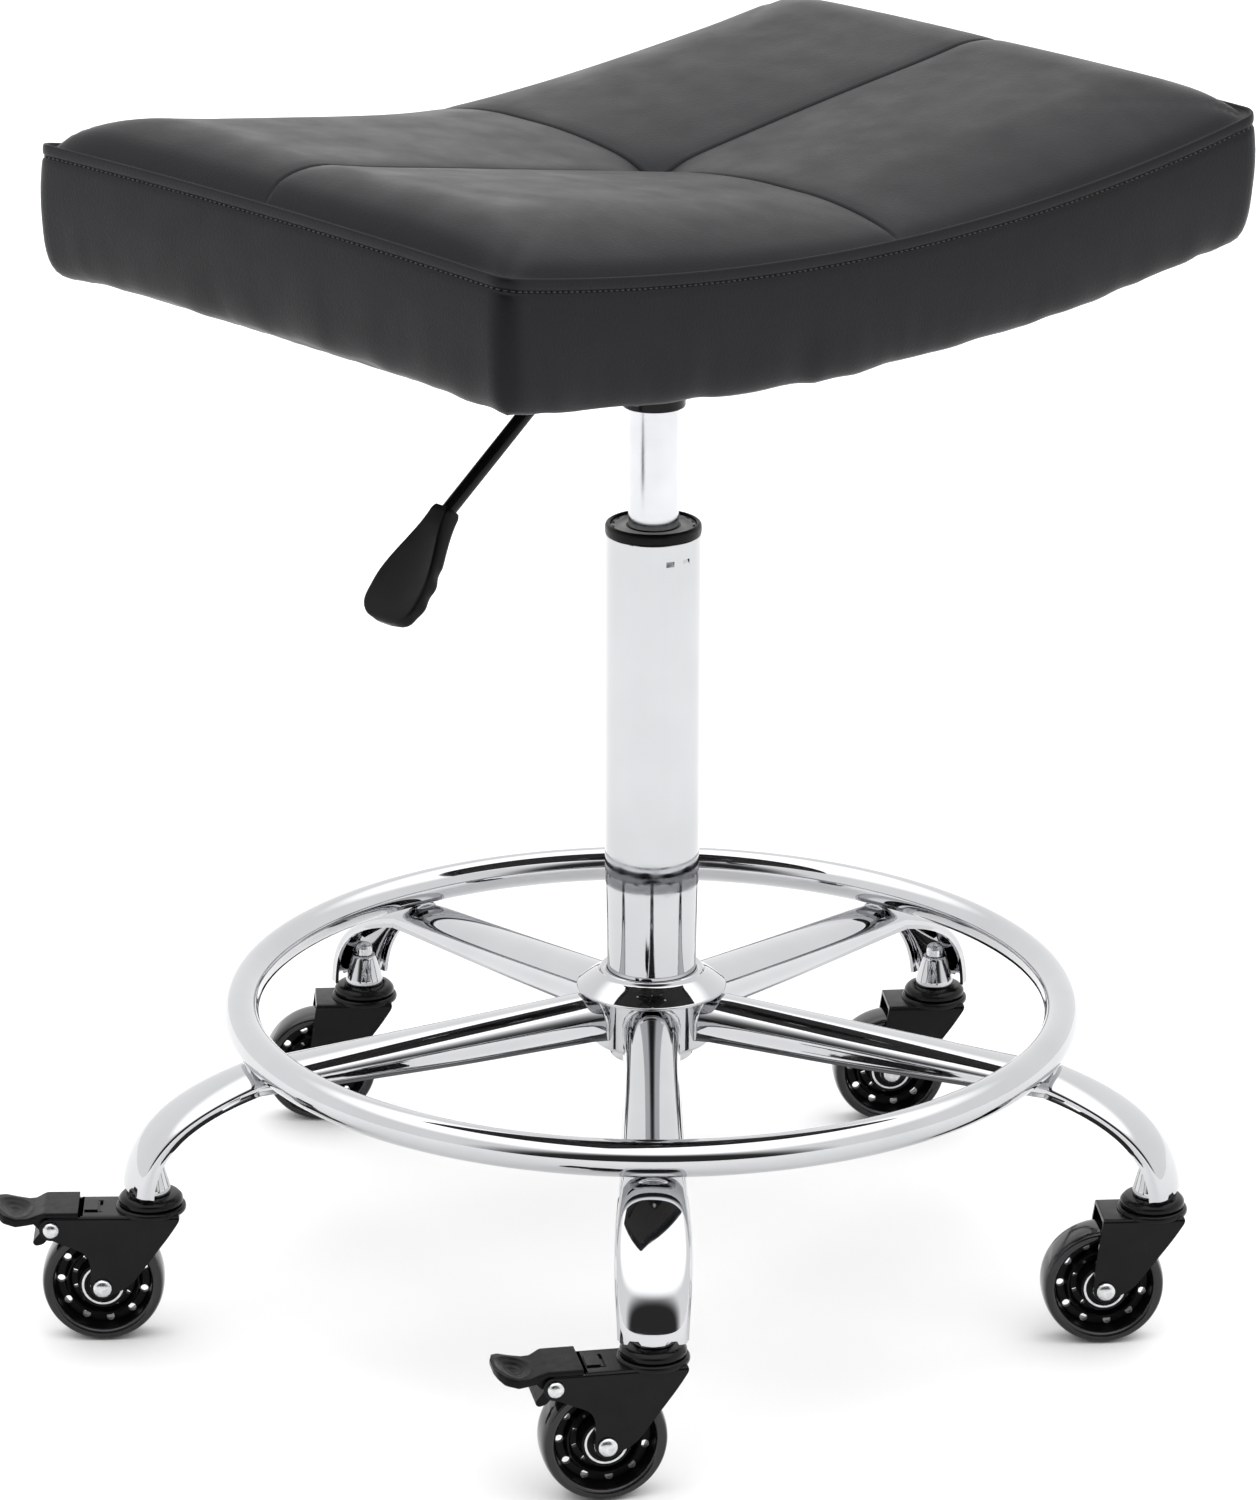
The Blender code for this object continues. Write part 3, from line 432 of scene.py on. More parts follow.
LOOKS = {
    # Polished plate: slow ripples of the pressed steel below, faint haze and fine polishing marks.
    "chrome": (mottled("polished_chrome", (0.50, 0.505, 0.518), 0.04, (60.0, 4.0, 0.95, 1.04),
                       (9.0, 8.0, 0.03), (34.0, 1.0, 0.05), (0.8, 3.0, 0.0012), metallic=1.0), "chrome"),
    "zinc": (mottled("bright_zinc", (0.62, 0.63, 0.64), 0.24, (3.0, 4.0, 0.82, 1.12), (1.6, 6.0, 0.08),
                     (1.1, 5.0, 0.02), metallic=1.0), "zinc"),
    "satin_steel": (satin_steel(), "satin_steel"),
    # Semi-gloss enamel with orange peel.
    "black_metal": (mottled("black_enamel", (0.003, 0.003, 0.0033), 0.2, (12.0, 4.0, 0.7, 1.5),
                            (5.0, 6.0, 0.07), (1.8, 2.0, 0.012), Specular_IOR_Level=0.16), "black_metal"),
    # Moulded nylon with a fine spark-eroded grain.
    "black_plastic": (mottled("black_nylon", (0.0028, 0.0028, 0.0031), 0.34, (14.0, 4.0, 0.8, 1.35),
                              (4.0, 5.0, 0.07), (0.45, 4.0, 0.02), Specular_IOR_Level=0.11), "black_plastic"),
    "grey_plastic": (mottled("pale_acetal", (0.56, 0.56, 0.54), 0.42, (6.0, 4.0, 0.9, 1.06), (2.5, 5.0, 0.06),
                             (0.8, 3.0, 0.01), Subsurface_Weight=0.08, Subsurface_Radius=(0.002,) * 3),
                     "grey_plastic"),
    "leather": (leather(), "black_leather"),
    "thread": (thread(), "black_leather"),
    "plywood": (plywood(), "plywood"),
    # Polyurethane smoked almost black, still a little clear.
    "smoked_tyre": (mottled("smoked_polyurethane", (0.012, 0.012, 0.0135), 0.05, (12.0, 1.0, 0.95, 1.05),
                            (9.0, 1.0, 0.02), (14.0, 0.0, 0.003), Transmission_Weight=0.4, IOR=1.45),
                    "smoked_tyre"),
}


def add(name, mesh, look, body, replaces=(), place=LIFT, smooth=38.0, edge=0.0):
    """One visible piece: its mesh, finish and body, and the CAD nodes that it stands for."""
    material, slot = LOOKS[look]
    if not mesh.materials:
        mesh.materials.append(material)
        mesh.shade_smooth()
        mesh.set_sharp_from_angle(angle=math.radians(smooth))
    made = bpy.data.objects.new(name, mesh)
    bpy.context.scene.collection.objects.link(made)
    made.matrix_world = place
    if edge > 0.0:
        ease = made.modifiers.new("eased_edges", "BEVEL")
        ease.width = edge * MM
        ease.segments = 2
        ease.limit_method = "ANGLE"
        ease.angle_limit = math.radians(40.0)
        ease.harden_normals = True
    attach(made, body)
    if replaces:
        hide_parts(*replaces)
    return made


# Stage and camera

CAMERA_FROM_LIFT = Vector((-2.1538, -2.3729, 1.3884))
CAMERA_PITCH = math.radians(18.84)
CAMERA_HEADING = math.radians(48.0)
CAMERA_ROLL = math.radians(0.166)
CAMERA_LENS = 155.27


def build_camera():
    data = bpy.data.cameras.new("camera")
    data.lens = CAMERA_LENS
    data.sensor_width = 36.0
    data.clip_start = 0.1
    data.clip_end = 200.0
    camera = bpy.data.objects.new("camera", data)
    bpy.context.scene.collection.objects.link(camera)
    turn = Matrix.Rotation(CAMERA_HEADING - math.pi / 2, 4, "Z")
    tilt = Matrix.Rotation(math.pi / 2 - CAMERA_PITCH, 4, "X")
    roll = Matrix.Rotation(CAMERA_ROLL, 4, "Z")
    camera.matrix_world = Matrix.Translation(AXIS * MM + CAMERA_FROM_LIFT) @ turn @ tilt @ roll
    bpy.context.scene.camera = camera


FLOOR_HALF = 30.0
WALLS = 1.25
FRONT_WALL = 0.04
OVERHEAD = 2.3
BACKDROP = 1.0
FRONT_WALL_EDGE = (0.62, 0.86)
OVERHEAD_EDGE = (0.60, 0.80)


def build_world():
    """A white studio with a soft light overhead, and a dark patch of wall behind the camera."""
    world = bpy.data.worlds.new("studio")
    world.use_nodes = True
    bpy.context.scene.world = world
    tree = world.node_tree
    tree.nodes.clear()

    def eased_range(value, start, end, low, high):
        node = tree.nodes.new("ShaderNodeMapRange")
        node.interpolation_type = "SMOOTHSTEP"
        for socket, number in (("From Min", start), ("From Max", end)):
            node.inputs[socket].default_value = number
        for socket, wanted in (("To Min", low), ("To Max", high)):
            if isinstance(wanted, float):
                node.inputs[socket].default_value = wanted
            else:
                tree.links.new(wanted, node.inputs[socket])
        tree.links.new(value, node.inputs["Value"])
        return node.outputs["Result"]

    direction = tree.nodes.new("ShaderNodeTexCoord").outputs["Generated"]
    parts = tree.nodes.new("ShaderNodeSeparateXYZ")
    tree.links.new(direction, parts.inputs[0])
    facing = tree.nodes.new("ShaderNodeVectorMath")
    facing.operation = "DOT_PRODUCT"
    facing.inputs[1].default_value = (-math.cos(CAMERA_HEADING), -math.sin(CAMERA_HEADING), 0.0)
    tree.links.new(direction, facing.inputs[0])
    walls = eased_range(facing.outputs["Value"], *FRONT_WALL_EDGE, WALLS, FRONT_WALL)
    light = eased_range(parts.outputs["Z"], *OVERHEAD_EDGE, walls, OVERHEAD)
    studio = tree.nodes.new("ShaderNodeBackground")
    studio.inputs["Color"].default_value = (1.0, 1.0, 1.0, 1.0)
    tree.links.new(light, studio.inputs["Strength"])
    pale = tree.nodes.new("ShaderNodeBackground")
    pale.inputs["Color"].default_value = (1.0, 1.0, 1.0, 1.0)
    pale.inputs["Strength"].default_value = BACKDROP
    rays = tree.nodes.new("ShaderNodeLightPath")
    choice = tree.nodes.new("ShaderNodeMixShader")
    tree.links.new(rays.outputs["Is Camera Ray"], choice.inputs[0])
    tree.links.new(studio.outputs[0], choice.inputs[1])
    tree.links.new(pale.outputs[0], choice.inputs[2])
    output = tree.nodes.new("ShaderNodeOutputWorld")
    tree.links.new(choice.outputs[0], output.inputs["Surface"])


def build_floor():
    corners = ((-1, -1), (1, -1), (1, 1), (-1, 1))
    mesh = mesh_from([(x * FLOOR_HALF / MM, y * FLOOR_HALF / MM, 0.0) for x, y in corners], [[0, 1, 2, 3]])
    finish = Finish("pale_floor", (0.90, 0.90, 0.90), 0.9, Specular_IOR_Level=0.1)
    finish.tint(finish.cloud(900.0), 0.99, 1.01)
    mesh.materials.append(finish.material)
    floor = bpy.data.objects.new("floor", mesh)
    bpy.context.scene.collection.objects.link(floor)


# Seat

CUSHION_SIZE = span("seat_cushion")
SIDE_BULGE = 1.5
STUFFING = 2.5
SEAT_X = CUSHION_SIZE.x / 2 - SIDE_BULGE + STUFFING
SEAT_Y = CUSHION_SIZE.y / 2 - SIDE_BULGE + STUFFING
SADDLE_RISE = 24.5
END_RISE = 2.5
CORNER = 10.0
SIDE_HEIGHT = 65.5
CUSHION_BOTTOM = low_z("seat_cushion")
WELT = CUSHION_BOTTOM + SIDE_HEIGHT
BOARD_FLAT = low_z("seat_board")
BOARD_BOTTOM = BOARD_FLAT - 1.5
BOARD_THICKNESS = 12.0
BOARD_INSET = 16.5
CROWN_CENTRE = 2.5
CROWN_ENDS = 18.5
CROWN_SIDES = 12.5
CROWN_PANEL = 3.5
CROWN_LEFT = 6.0
CENTRE_PULL = 4.0
CENTRE_PULL_REACH = 15.0
RISE_TO_ENDS = 175.0
RISE_TO_SIDES = 90.0
END_SWELL = (42.0, 1.75)
SIDE_SWELL = (64.0, 1.65)


def saddle(x):
    """How far the seat's long side has risen at x."""
    return SADDLE_RISE * (x / SEAT_X) ** 2


def welt_height(x, y):
    """The welt line: the saddle, with each short end a little higher in its middle."""
    return WELT + saddle(x) + END_RISE * (x / SEAT_X) ** 4 * (1.0 - (y / SEAT_Y) ** 2)


def swell(distance, reach, power):
    """Padding swelling up from its seam: 0 on the seam, 1 from reach onwards."""
    share = max(1.0 - distance / reach, 0.0)
    return (1.0 - share ** power) ** (1.0 / power)


def seam_dip(distance):
    """The valley at a seam: a tight crease in a soft hollow."""
    return 2.0 * math.exp(-(distance / 0.95) ** 2) + 0.8 * math.exp(-(distance / 5.0) ** 2)


def crown(x, y):
    """How far the padding stands above the welt line: four panels that dip to the middle."""
    along = min(abs(x) / SEAT_X, 1.0)
    across = min(abs(y) / SEAT_Y, 1.0)
    to_ends = math.sin(math.pi / 2 * min(abs(x) / RISE_TO_ENDS, 1.0)) ** 0.9
    to_sides = math.sin(math.pi / 2 * min(abs(y) / RISE_TO_SIDES, 1.0))
    height = CROWN_CENTRE + (CROWN_ENDS - CROWN_CENTRE) * to_ends
    height += (CROWN_SIDES - CROWN_CENTRE) * to_sides * (1.0 - along) ** 3
    height += CROWN_PANEL * (math.sin(math.pi * along) * math.sin(math.pi * across)) ** 0.8
    height += CROWN_LEFT * max(-x / SEAT_X, 0.0) ** 2
    from_end = 1.0 - swell(SEAT_X - abs(x), *END_SWELL)
    from_side = 1.0 - swell(SEAT_Y - abs(y), *SIDE_SWELL)
    height *= 1.0 - min(math.hypot(from_end, from_side), 1.0)
    height -= CENTRE_PULL * math.exp(-(x * x + y * y) / CENTRE_PULL_REACH ** 2)
    rim = (1.0 - max(along, across)) * SEAT_Y
    height -= (seam_dip(abs(x)) + seam_dip(abs(y))) * swell(rim, 30.0, 2.0)
    return height * swell(rim, 7.0, 2.0)


def outline_point(x, y, inset=0.0):
    """A point of the rectangular grid, carried to the seat's rounded outline and pulled in by inset."""
    share = max(abs(x) / SEAT_X, abs(y) / SEAT_Y, 1e-9)
    half_x = SEAT_X - inset
    half_y = SEAT_Y - inset
    px = abs(x) * half_x / SEAT_X
    py = abs(y) * half_y / SEAT_Y
    radius = max(CORNER - inset * 0.5, 5.0) * share
    cx = half_x * share - radius
    cy = half_y * share - radius
    if px > cx and py > cy:
        away = Vector((px - cx, py - cy))
        away *= radius / away.length
        px = cx + away.x
        py = cy + away.y
    return math.copysign(px, x), math.copysign(py, y)


def seam_stations(reach):
    """Distances from a seam out to the welt, close together at both."""
    near = [0.0, 0.5, 1.0, 1.7, 2.6, 4.0, 6.0, 8.5, 11.5]
    rim = [reach - d for d in (17.0, 12.5, 9.0, 6.2, 4.0, 2.4, 1.1)]
    steps = round((rim[0] - near[-1]) / 4.6)
    between = [near[-1] + (rim[0] - near[-1]) * k / steps for k in range(1, steps)]
    return near + between + rim + [reach]


def both_sides(distances):
    return [-d for d in reversed(distances[1:])] + distances


def side_profile():
    """(inset, drop below the welt line) down the side: crease, folded edge, stitched band, side, hem."""
    fold = [(2.0, 0.9), (1.7, 0.2), (1.1, -0.5), (0.4, -0.6), (-0.1, 0.1), (-0.3, 1.2)]
    band = [(-0.4, 2.6), (-0.35, 4.0), (-0.1, 4.9), (0.5, 5.5), (0.9, 5.9), (0.5, 6.3), (-0.2, 7.0)]
    side = [(-0.7, 8.4), (-1.0, 11.0), (-1.3, 15.0), (-1.6, 20.0), (-1.7, 26.0), (-1.6, 32.0),
            (-1.3, 38.0), (-0.9, 44.0), (-0.4, 49.5), (0.3, 54.0), (1.2, 57.6), (2.4, 60.6),
            (4.2, 63.2), (6.8, 65.0), (10.0, 65.9)]
    return fold + band + side


def board_under(x):
    return max(BOARD_BOTTOM + saddle(x), BOARD_FLAT)


def board_upper(x):
    return BOARD_BOTTOM + BOARD_THICKNESS + saddle(x)


def side_wrinkle(x, y, drop):
    """Slack in the side panel: slow waves that grow towards the hem, and gathers at the corners."""
    lower = max((drop - 14.0) / 52.0, 0.0) ** 1.6
    wave = noise.noise(Vector((x / 34.0, y / 34.0, drop / 90.0)))
    fine = noise.noise(Vector((x / 11.0, y / 11.0, drop / 40.0 + 7.0)))
    corner = min(abs(x) / SEAT_X, 1.0) ** 14 * min(abs(y) / SEAT_Y, 1.0) ** 10
    gather = math.sin((abs(x) - abs(y)) / 4.2) * corner
    return lower * (1.5 * wave + 0.5 * fine + 0.8 * gather)


def hem_sag(x, y, drop):
    """The hem isn't cut true: it wanders a little and hangs lower at the corners."""
    lower = max((drop - 30.0) / 36.0, 0.0) ** 2
    corner = min(abs(x) / SEAT_X, 1.0) ** 8 * min(abs(y) / SEAT_Y, 1.0) ** 8
    slow = noise.noise(Vector((x / 42.0, y / 42.0, 3.0)))
    scallop = abs(noise.noise(Vector((x / 24.0, y / 24.0, 11.0))))
    return lower * (1.1 * slow - 2.2 * scallop + 2.4 * corner)


def cushion_mesh():
    """The stuffed cover: four crowned panels, side band, and a hem that wraps under the board."""
    xs = both_sides(seam_stations(SEAT_X))
    ys = both_sides(seam_stations(SEAT_Y))
    verts = []
    for y in ys:
        for x in xs:
            px, py = outline_point(x, y, 2.4)
            verts.append((px, py, welt_height(px, py) + crown(x, y) - 0.9))
    wide = len(xs)
    faces = []
    for row in range(len(ys) - 1):
        for col in range(wide - 1):
            a = row * wide + col
            faces.append([a, a + 1, a + wide + 1, a + wide])
    last = len(ys) - 1
    border = [(0, c) for c in range(wide)] + [(r, wide - 1) for r in range(1, last + 1)]
    border += [(last, c) for c in range(wide - 2, -1, -1)] + [(r, 0) for r in range(last - 1, 0, -1)]
    rim = [(xs[c], ys[r]) for r, c in border]
    previous = [r * wide + c for r, c in border]

    def add_row(points):
        start = len(verts)
        verts.extend(points)
        row = list(range(start, start + len(points)))
        for k in range(len(row)):
            after = (k + 1) % len(row)
            faces.append([previous[k], previous[after], row[after], row[k]])
        return row

    for inset, drop in side_profile():
        points = []
        for x, y in rim:
            px, py = outline_point(x, y, inset - side_wrinkle(x, y, drop))
            points.append((px, py, welt_height(px, py) - drop - hem_sag(x, y, drop)))
        previous = add_row(points)
    turned_under = ((15.0, 1.5), (24.0, 1.35), (33.0, 1.3), (34.5, 0.7), (34.0, 0.15),
                    (BOARD_INSET + 1.0, 0.15))
    for inset, below in turned_under:
        points = []
        for x, y in rim:
            px, py = outline_point(x, y, inset)
            pleat = 0.35 * noise.noise(Vector((px / 7.0, py / 7.0, 11.0))) if below > 1.0 else 0.0
            points.append((px, py, board_under(px) - below + pleat))
        previous = add_row(points)
    for scale in (1.0, 0.7, 0.4):
        points = []
        for x, y in rim:
            px, py = outline_point(x, y, BOARD_INSET - 0.4)
            points.append((px * scale, py * scale, board_upper(px * scale) + 0.6))
        previous = add_row(points)
    verts.append((0.0, 0.0, board_upper(0.0) + 0.6))
    tip = len(verts) - 1
    for k in range(len(previous)):
        faces.append([previous[k], previous[(k + 1) % len(previous)], tip])
    return mesh_from(verts, faces)


def rim_route(inset, drop, spacing):
    """Evenly spaced (point, direction) pairs round the seat's side."""
    dense = []
    for x in both_sides(seam_stations(SEAT_X)):
        dense.append((x, -SEAT_Y))
    for y in both_sides(seam_stations(SEAT_Y))[1:]:
        dense.append((SEAT_X, y))
    half = dense + [(-x, -y) for x, y in dense[1:]]
    fine = []
    for (x0, y0), (x1, y1) in zip(half, half[1:]):
        for k in range(4):
            fine.append((x0 + (x1 - x0) * k / 4, y0 + (y1 - y0) * k / 4))
    points = []
    for x, y in fine:
        px, py = outline_point(x, y, inset - side_wrinkle(x, y, drop))
        points.append(Vector((px, py, welt_height(px, py) - drop)))
    lengths = [0.0]
    for a, b in zip(points, points[1:] + points[:1]):
        lengths.append(lengths[-1] + (b - a).length)
    count = round(lengths[-1] / spacing)
    targets = [lengths[-1] * k / count for k in range(count)]
    ring = points + [points[0]]
    tracks = [[p[axis] for p in ring] for axis in range(3)]
    spots = [Vector([float(np.interp(t, lengths, track)) for track in tracks]) for t in targets]
    return [(spots[k], (spots[(k + 1) % count] - spots[k - 1]).normalized()) for k in range(count)]


def stitch_mesh():
    """A lockstitch: short lengths of thread, each sinking into the leather at both ends."""
    verts = []
    faces = []
    for spot, along in rim_route(inset=0.55, drop=5.9, spacing=3.6):
        outward = along.cross(Vector((0.0, 0.0, 1.0))).normalized()
        if outward.dot(Vector((spot.x / SEAT_X, spot.y / SEAT_Y, 0.0))) < 0.0:
            outward.negate()
        up = outward.cross(along)
        start = len(verts)
        rings = ((-1.45, -0.55, 0.16), (-1.0, 0.02, 0.34), (0.0, 0.22, 0.40), (1.0, 0.02, 0.34),
                 (1.45, -0.55, 0.16))
        for reach, lift, size in rings:
            centre = spot + along * reach + outward * lift
            for k in range(6):
                a = math.pi * k / 3
                verts.append(tuple(centre + outward * size * math.cos(a) + up * size * math.sin(a)))
        for ring in range(len(rings) - 1):
            faces += ring_faces(start + ring * 6, start + ring * 6 + 6, 6)
        faces.append([start + k for k in range(6)])
        faces.append([start + (len(rings) - 1) * 6 + k for k in range(6)])
    return mesh_from(verts, faces)


def staple_mesh():
    """The staples that hold the hem to the board."""
    staples = []
    for spot, along in rim_route(inset=28.0, drop=0.0, spacing=27.0):
        along = Vector((along.x, along.y, 0.0)).normalized()
        turn = 0.18 * noise.noise(spot / 9.0)
        along.rotate(Matrix.Rotation(turn, 3, "Z"))
        centre = Vector((spot.x, spot.y, board_under(spot.x) - 1.75))
        rise = Vector((0.0, 0.0, 1.2))
        ends = [centre - along * 5.0, centre + along * 5.0]
        route = [ends[0] + rise, ends[0] + rise * 0.3, ends[0] + along * 0.5]
        route += [ends[1] - along * 0.5, ends[1] + rise * 0.3, ends[1] + rise]
        staples.append(tube(route, 0.42, sides=8))
    return joined(*staples)


def board_mesh():
    """Bent plywood, flat in the middle of its underside."""
    rim = [(x, -SEAT_Y) for x in both_sides(seam_stations(SEAT_X))]
    rim += [(SEAT_X, y) for y in both_sides(seam_stations(SEAT_Y))[1:]]
    rim += [(-x, -y) for x, y in rim[1:-1]]
    loops = []
    edge = [outline_point(x, y, BOARD_INSET) for x, y in rim]
    scales = (0.15, 0.3, 0.45, 0.6, 0.75, 0.9, 0.995)
    for scale in scales:
        loops.append([(x * scale, y * scale, board_under(x * scale)) for x, y in edge])
    loops.append([(x, y, board_under(x) + 0.8) for x, y in edge])
    loops.append([(x, y, board_upper(x) - 0.8) for x, y in edge])
    for scale in reversed(scales):
        loops.append([(x * scale, y * scale, board_upper(x * scale)) for x, y in edge])
    return loft(loops, (0.0, 0.0, BOARD_FLAT), (0.0, 0.0, board_upper(0.0)))


PLATE_TOP = high_z("seat_plate")
BOSS_BOTTOM = low_z("seat_plate")
PLATE_X = span("seat_plate").x / 2
PLATE_Y = span("seat_plate").y / 2
BOX_BOTTOM = 508.0
CHEEK_OUTER = 17.0
CHEEK_INNER = 14.0
BOSS_RADIUS = 16.5
BOSS_BORE = 13.4


def plate_mesh():
    """A pressed plate with rounded corners and a stiffening step round its middle."""
    def loop(inset, z):
        corners = [(PLATE_X - inset, -PLATE_Y + inset), (PLATE_X - inset, PLATE_Y - inset),
                   (-PLATE_X + inset, PLATE_Y - inset), (-PLATE_X + inset, -PLATE_Y + inset)]
        return [(x, y, z) for x, y in rounded(corners, 13.0, closed=True, steps=8)]
    bottom = PLATE_TOP - 3.0
    loops = [loop(22.0, bottom - 1.6), loop(20.0, bottom - 1.6), loop(17.5, bottom - 1.2), loop(15.0, bottom)]
    loops += [loop(0.8, bottom), loop(0.2, bottom + 0.3), loop(0.0, bottom + 0.9)]
    loops += [loop(0.0, PLATE_TOP - 0.7), loop(0.6, PLATE_TOP)]
    return loft(loops)


def channel_mesh():
    """The folded box under the plate that holds the lever's pin."""
    body = prism([(-40.0, BOX_BOTTOM), (40.0, BOX_BOTTOM), (46.0, PLATE_TOP - 1.5), (-46.0, PLATE_TOP - 1.5)],
                 -CHEEK_OUTER, CHEEK_OUTER)
    slot = prism([(-70.0, BOX_BOTTOM + 3.0), (70.0, BOX_BOTTOM + 3.0), (70.0, PLATE_TOP - 3.2),
                  (-70.0, PLATE_TOP - 3.2)], -CHEEK_INNER, CHEEK_INNER)
    bore = lathe([(0.0, BOSS_BOTTOM), (BOSS_BORE, BOSS_BOTTOM), (BOSS_BORE, BOX_BOTTOM + 5.0),
                  (0.0, BOX_BOTTOM + 5.0)], 64)
    return combine(combine(body, slot), bore)


def boss_mesh():
    return turned([(BOSS_BORE, BOSS_BOTTOM + 1.2), (BOSS_BORE + 0.6, BOSS_BOTTOM), (BOSS_RADIUS, BOSS_BOTTOM),
                   (BOSS_RADIUS, BOX_BOTTOM + 0.5), (BOSS_BORE, BOX_BOTTOM + 0.5)], 0.9, 96)


def ring_bead(radius, height, size, segments=96):
    """A weld that runs right round a tube."""
    points = []
    for k in range(segments):
        a = 2 * math.pi * k / segments
        ripple = 0.18 * math.sin(k * 1.9)
        points.append(((radius + ripple) * math.cos(a), (radius + ripple) * math.sin(a), height))
    return tube(points, size, sides=10, closed=True)


def screw_mesh():
    """A flanged pan-head screw with a hexagonal socket, head down, its flange's top face at z = 0."""
    profile = [(0.0, -5.5), (3.4, -5.3), (4.8, -4.2), (5.2, -2.6), (5.2, -1.5), (6.7, -1.3), (7.0, -0.9),
               (7.0, 0.0), (3.0, 0.0), (3.0, 10.0), (0.0, 11.5)]
    socket = loft([[(2.3 * math.cos(a), 2.3 * math.sin(a), z) for a in (math.pi * k / 3 for k in range(6))]
                   for z in (-7.0, -2.8)])
    return combine(lathe(profile, 48), socket)


def build_seat():
    cover = add("cushion_cover", cushion_mesh(), "leather", "seat", ["seat_cushion"], smooth=75.0)
    add("cushion_stitching", stitch_mesh(), "thread", "seat")
    add("hem_staples", staple_mesh(), "zinc", "seat")
    add("plywood_board", board_mesh(), "plywood", "seat", ["seat_board"])
    add("mounting_plate", plate_mesh(), "black_metal", "seat", ["seat_plate"])
    add("lever_box", channel_mesh(), "black_metal", "seat", edge=0.5)
    add("lift_boss", boss_mesh(), "black_metal", "seat")
    add("boss_weld", ring_bead(BOSS_RADIUS + 0.4, BOX_BOTTOM - 0.4, 1.3), "black_metal", "seat")
    screw = screw_mesh()
    for number in range(1, 5):
        spot = middle(f"seat_screw_{number}")
        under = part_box(f"seat_screw_{number}")[0].z / MM + 5.5
        place = Matrix.Translation(Vector((spot.x, spot.y, under)) * MM)
        add(f"plate_screw_{number}", screw, "zinc", "seat", [f"seat_screw_{number}"], place=place)


# Lever

ROD_RADIUS = 4.0
LEVER_HEIGHT = high_z("lever_rod") - ROD_RADIUS
LEVER_BEND = -49.6
LEVER_DROP = math.radians(38.4)
LEVER_END = -146.0
PADDLE_START = Vector((-139.5, 0.0, 454.0))
PADDLE_DROP = math.radians(50.0)
PADDLE_LENGTH = 66.0


def lever_rod_mesh():
    """A bent round rod, with a ball end over the button."""
    slope = math.tan(LEVER_DROP)
    corner = [(0.0, 0.0), (LEVER_BEND, 0.0), (LEVER_END, (LEVER_END - LEVER_BEND) * slope)]
    route = rounded(corner, 15.0, steps=12)
    rod = tube([(x, 0.0, LEVER_HEIGHT + z) for x, z in route], ROD_RADIUS, sides=32)
    ball = arc((0.0, 0.0), ROD_RADIUS, 0.0, 80.0, 8)
    tip = lathe([(0.0, -2.0), (ROD_RADIUS, -2.0)] + ball + [(0.0, ROD_RADIUS)], 32)
    turn = Matrix.Rotation(math.pi / 2, 4, "Y")
    moved(tip, Matrix.Translation((0.0, 0.0, LEVER_HEIGHT * MM)) @ turn)
    return joined(rod, tip)


def paddle_mesh():
    """A moulded grip: a narrow collar, a flaring thumb face with a shallow dish, and finger scallops."""
    along = Vector((-math.cos(PADDLE_DROP), 0.0, -math.sin(PADDLE_DROP)))
    side = Vector((0.0, 1.0, 0.0))
    up = side.cross(along)
    if up.z < 0.0:
        up.negate()
    loops = []
    rows = 46
    for row in range(rows + 1):
        share = row / rows
        reach = PADDLE_LENGTH * share
        flare = min(share / 0.72, 1.0)
        width = 6.6 + 12.6 * (flare * flare * (3 - 2 * flare))
        deep = 5.6 - 1.5 * share
        end = max((share - 0.80) / 0.20, 0.0)
        round_off = math.sqrt(max(1.0 - end ** 2.6, 0.0)) if end < 1.0 else 0.0
        width = max(width * (0.30 + 0.70 * round_off), 1.0)
        start = max(1.0 - share / 0.05, 0.0)
        width *= 1.0 - 0.14 * start * start
        deep *= (1.0 - 0.14 * start * start) * (0.42 + 0.58 * round_off)
        scallop = 0.0
        if 0.42 < share < 0.97:
            scallop = 1.0 * math.sin((share - 0.42) / 0.55 * math.pi * 3.0) ** 2
        dish = 1.5 * max(math.sin(math.pi * min(max((share - 0.16) / 0.78, 0.0), 1.0)), 0.0)
        low_width = width + 0.6 - 1.3 * scallop
        section = [(-width + 0.9, deep - 0.1, 0.9)]
        for k in range(-6, 7):
            t = k / 6.6
            section.append((t * (width - 1.0), deep - dish * (1.0 - t * t) ** 0.8, 0.0))
        section += [(width - 0.9, deep - 0.1, 0.9), (width + 0.1, deep * 0.4, 0.9),
                    (low_width, -deep * 0.55, 1.2), (low_width - 2.2, -deep, 1.6),
                    (-low_width + 2.2, -deep, 1.6), (-low_width, -deep * 0.55, 1.2),
                    (-width - 0.1, deep * 0.4, 0.9)]
        centre = PADDLE_START + along * reach
        outline = rounded(section, 0.8, closed=True, steps=2)
        loops.append([centre + side * across + up * lift for across, lift in outline])
    return loft(loops)


def build_lever():
    add("lever_bar", lever_rod_mesh(), "black_metal", "lever", ["lever_rod"])
    add("lever_grip", paddle_mesh(), "black_plastic", "lever", ["lever_paddle"], smooth=50.0)
    pin = middle("lever_pin") - AXIS
    reach = span("lever_pin").y / 2
    profile = [(0.0, -reach), (2.9, -reach), (3.4, -reach + 0.5), (3.4, -reach + 2.0), (2.0, -reach + 2.0),
               (2.0, reach - 2.0), (3.4, reach - 2.0), (3.4, reach - 0.5), (2.9, reach), (0.0, reach)]
    add("hinge_pin", on_axle(lathe(profile, 40), pin.x, pin.z), "zinc", "seat", ["lever_pin"])
    low, high = low_z("release_button"), high_z("release_button")
    button = turned([(0.0, low), (5.0, low), (5.0, high, 1.2), (0.0, high)], 0.4, 48)
    add("lift_button", button, "black_plastic", "button", ["release_button"])


# Gas lift

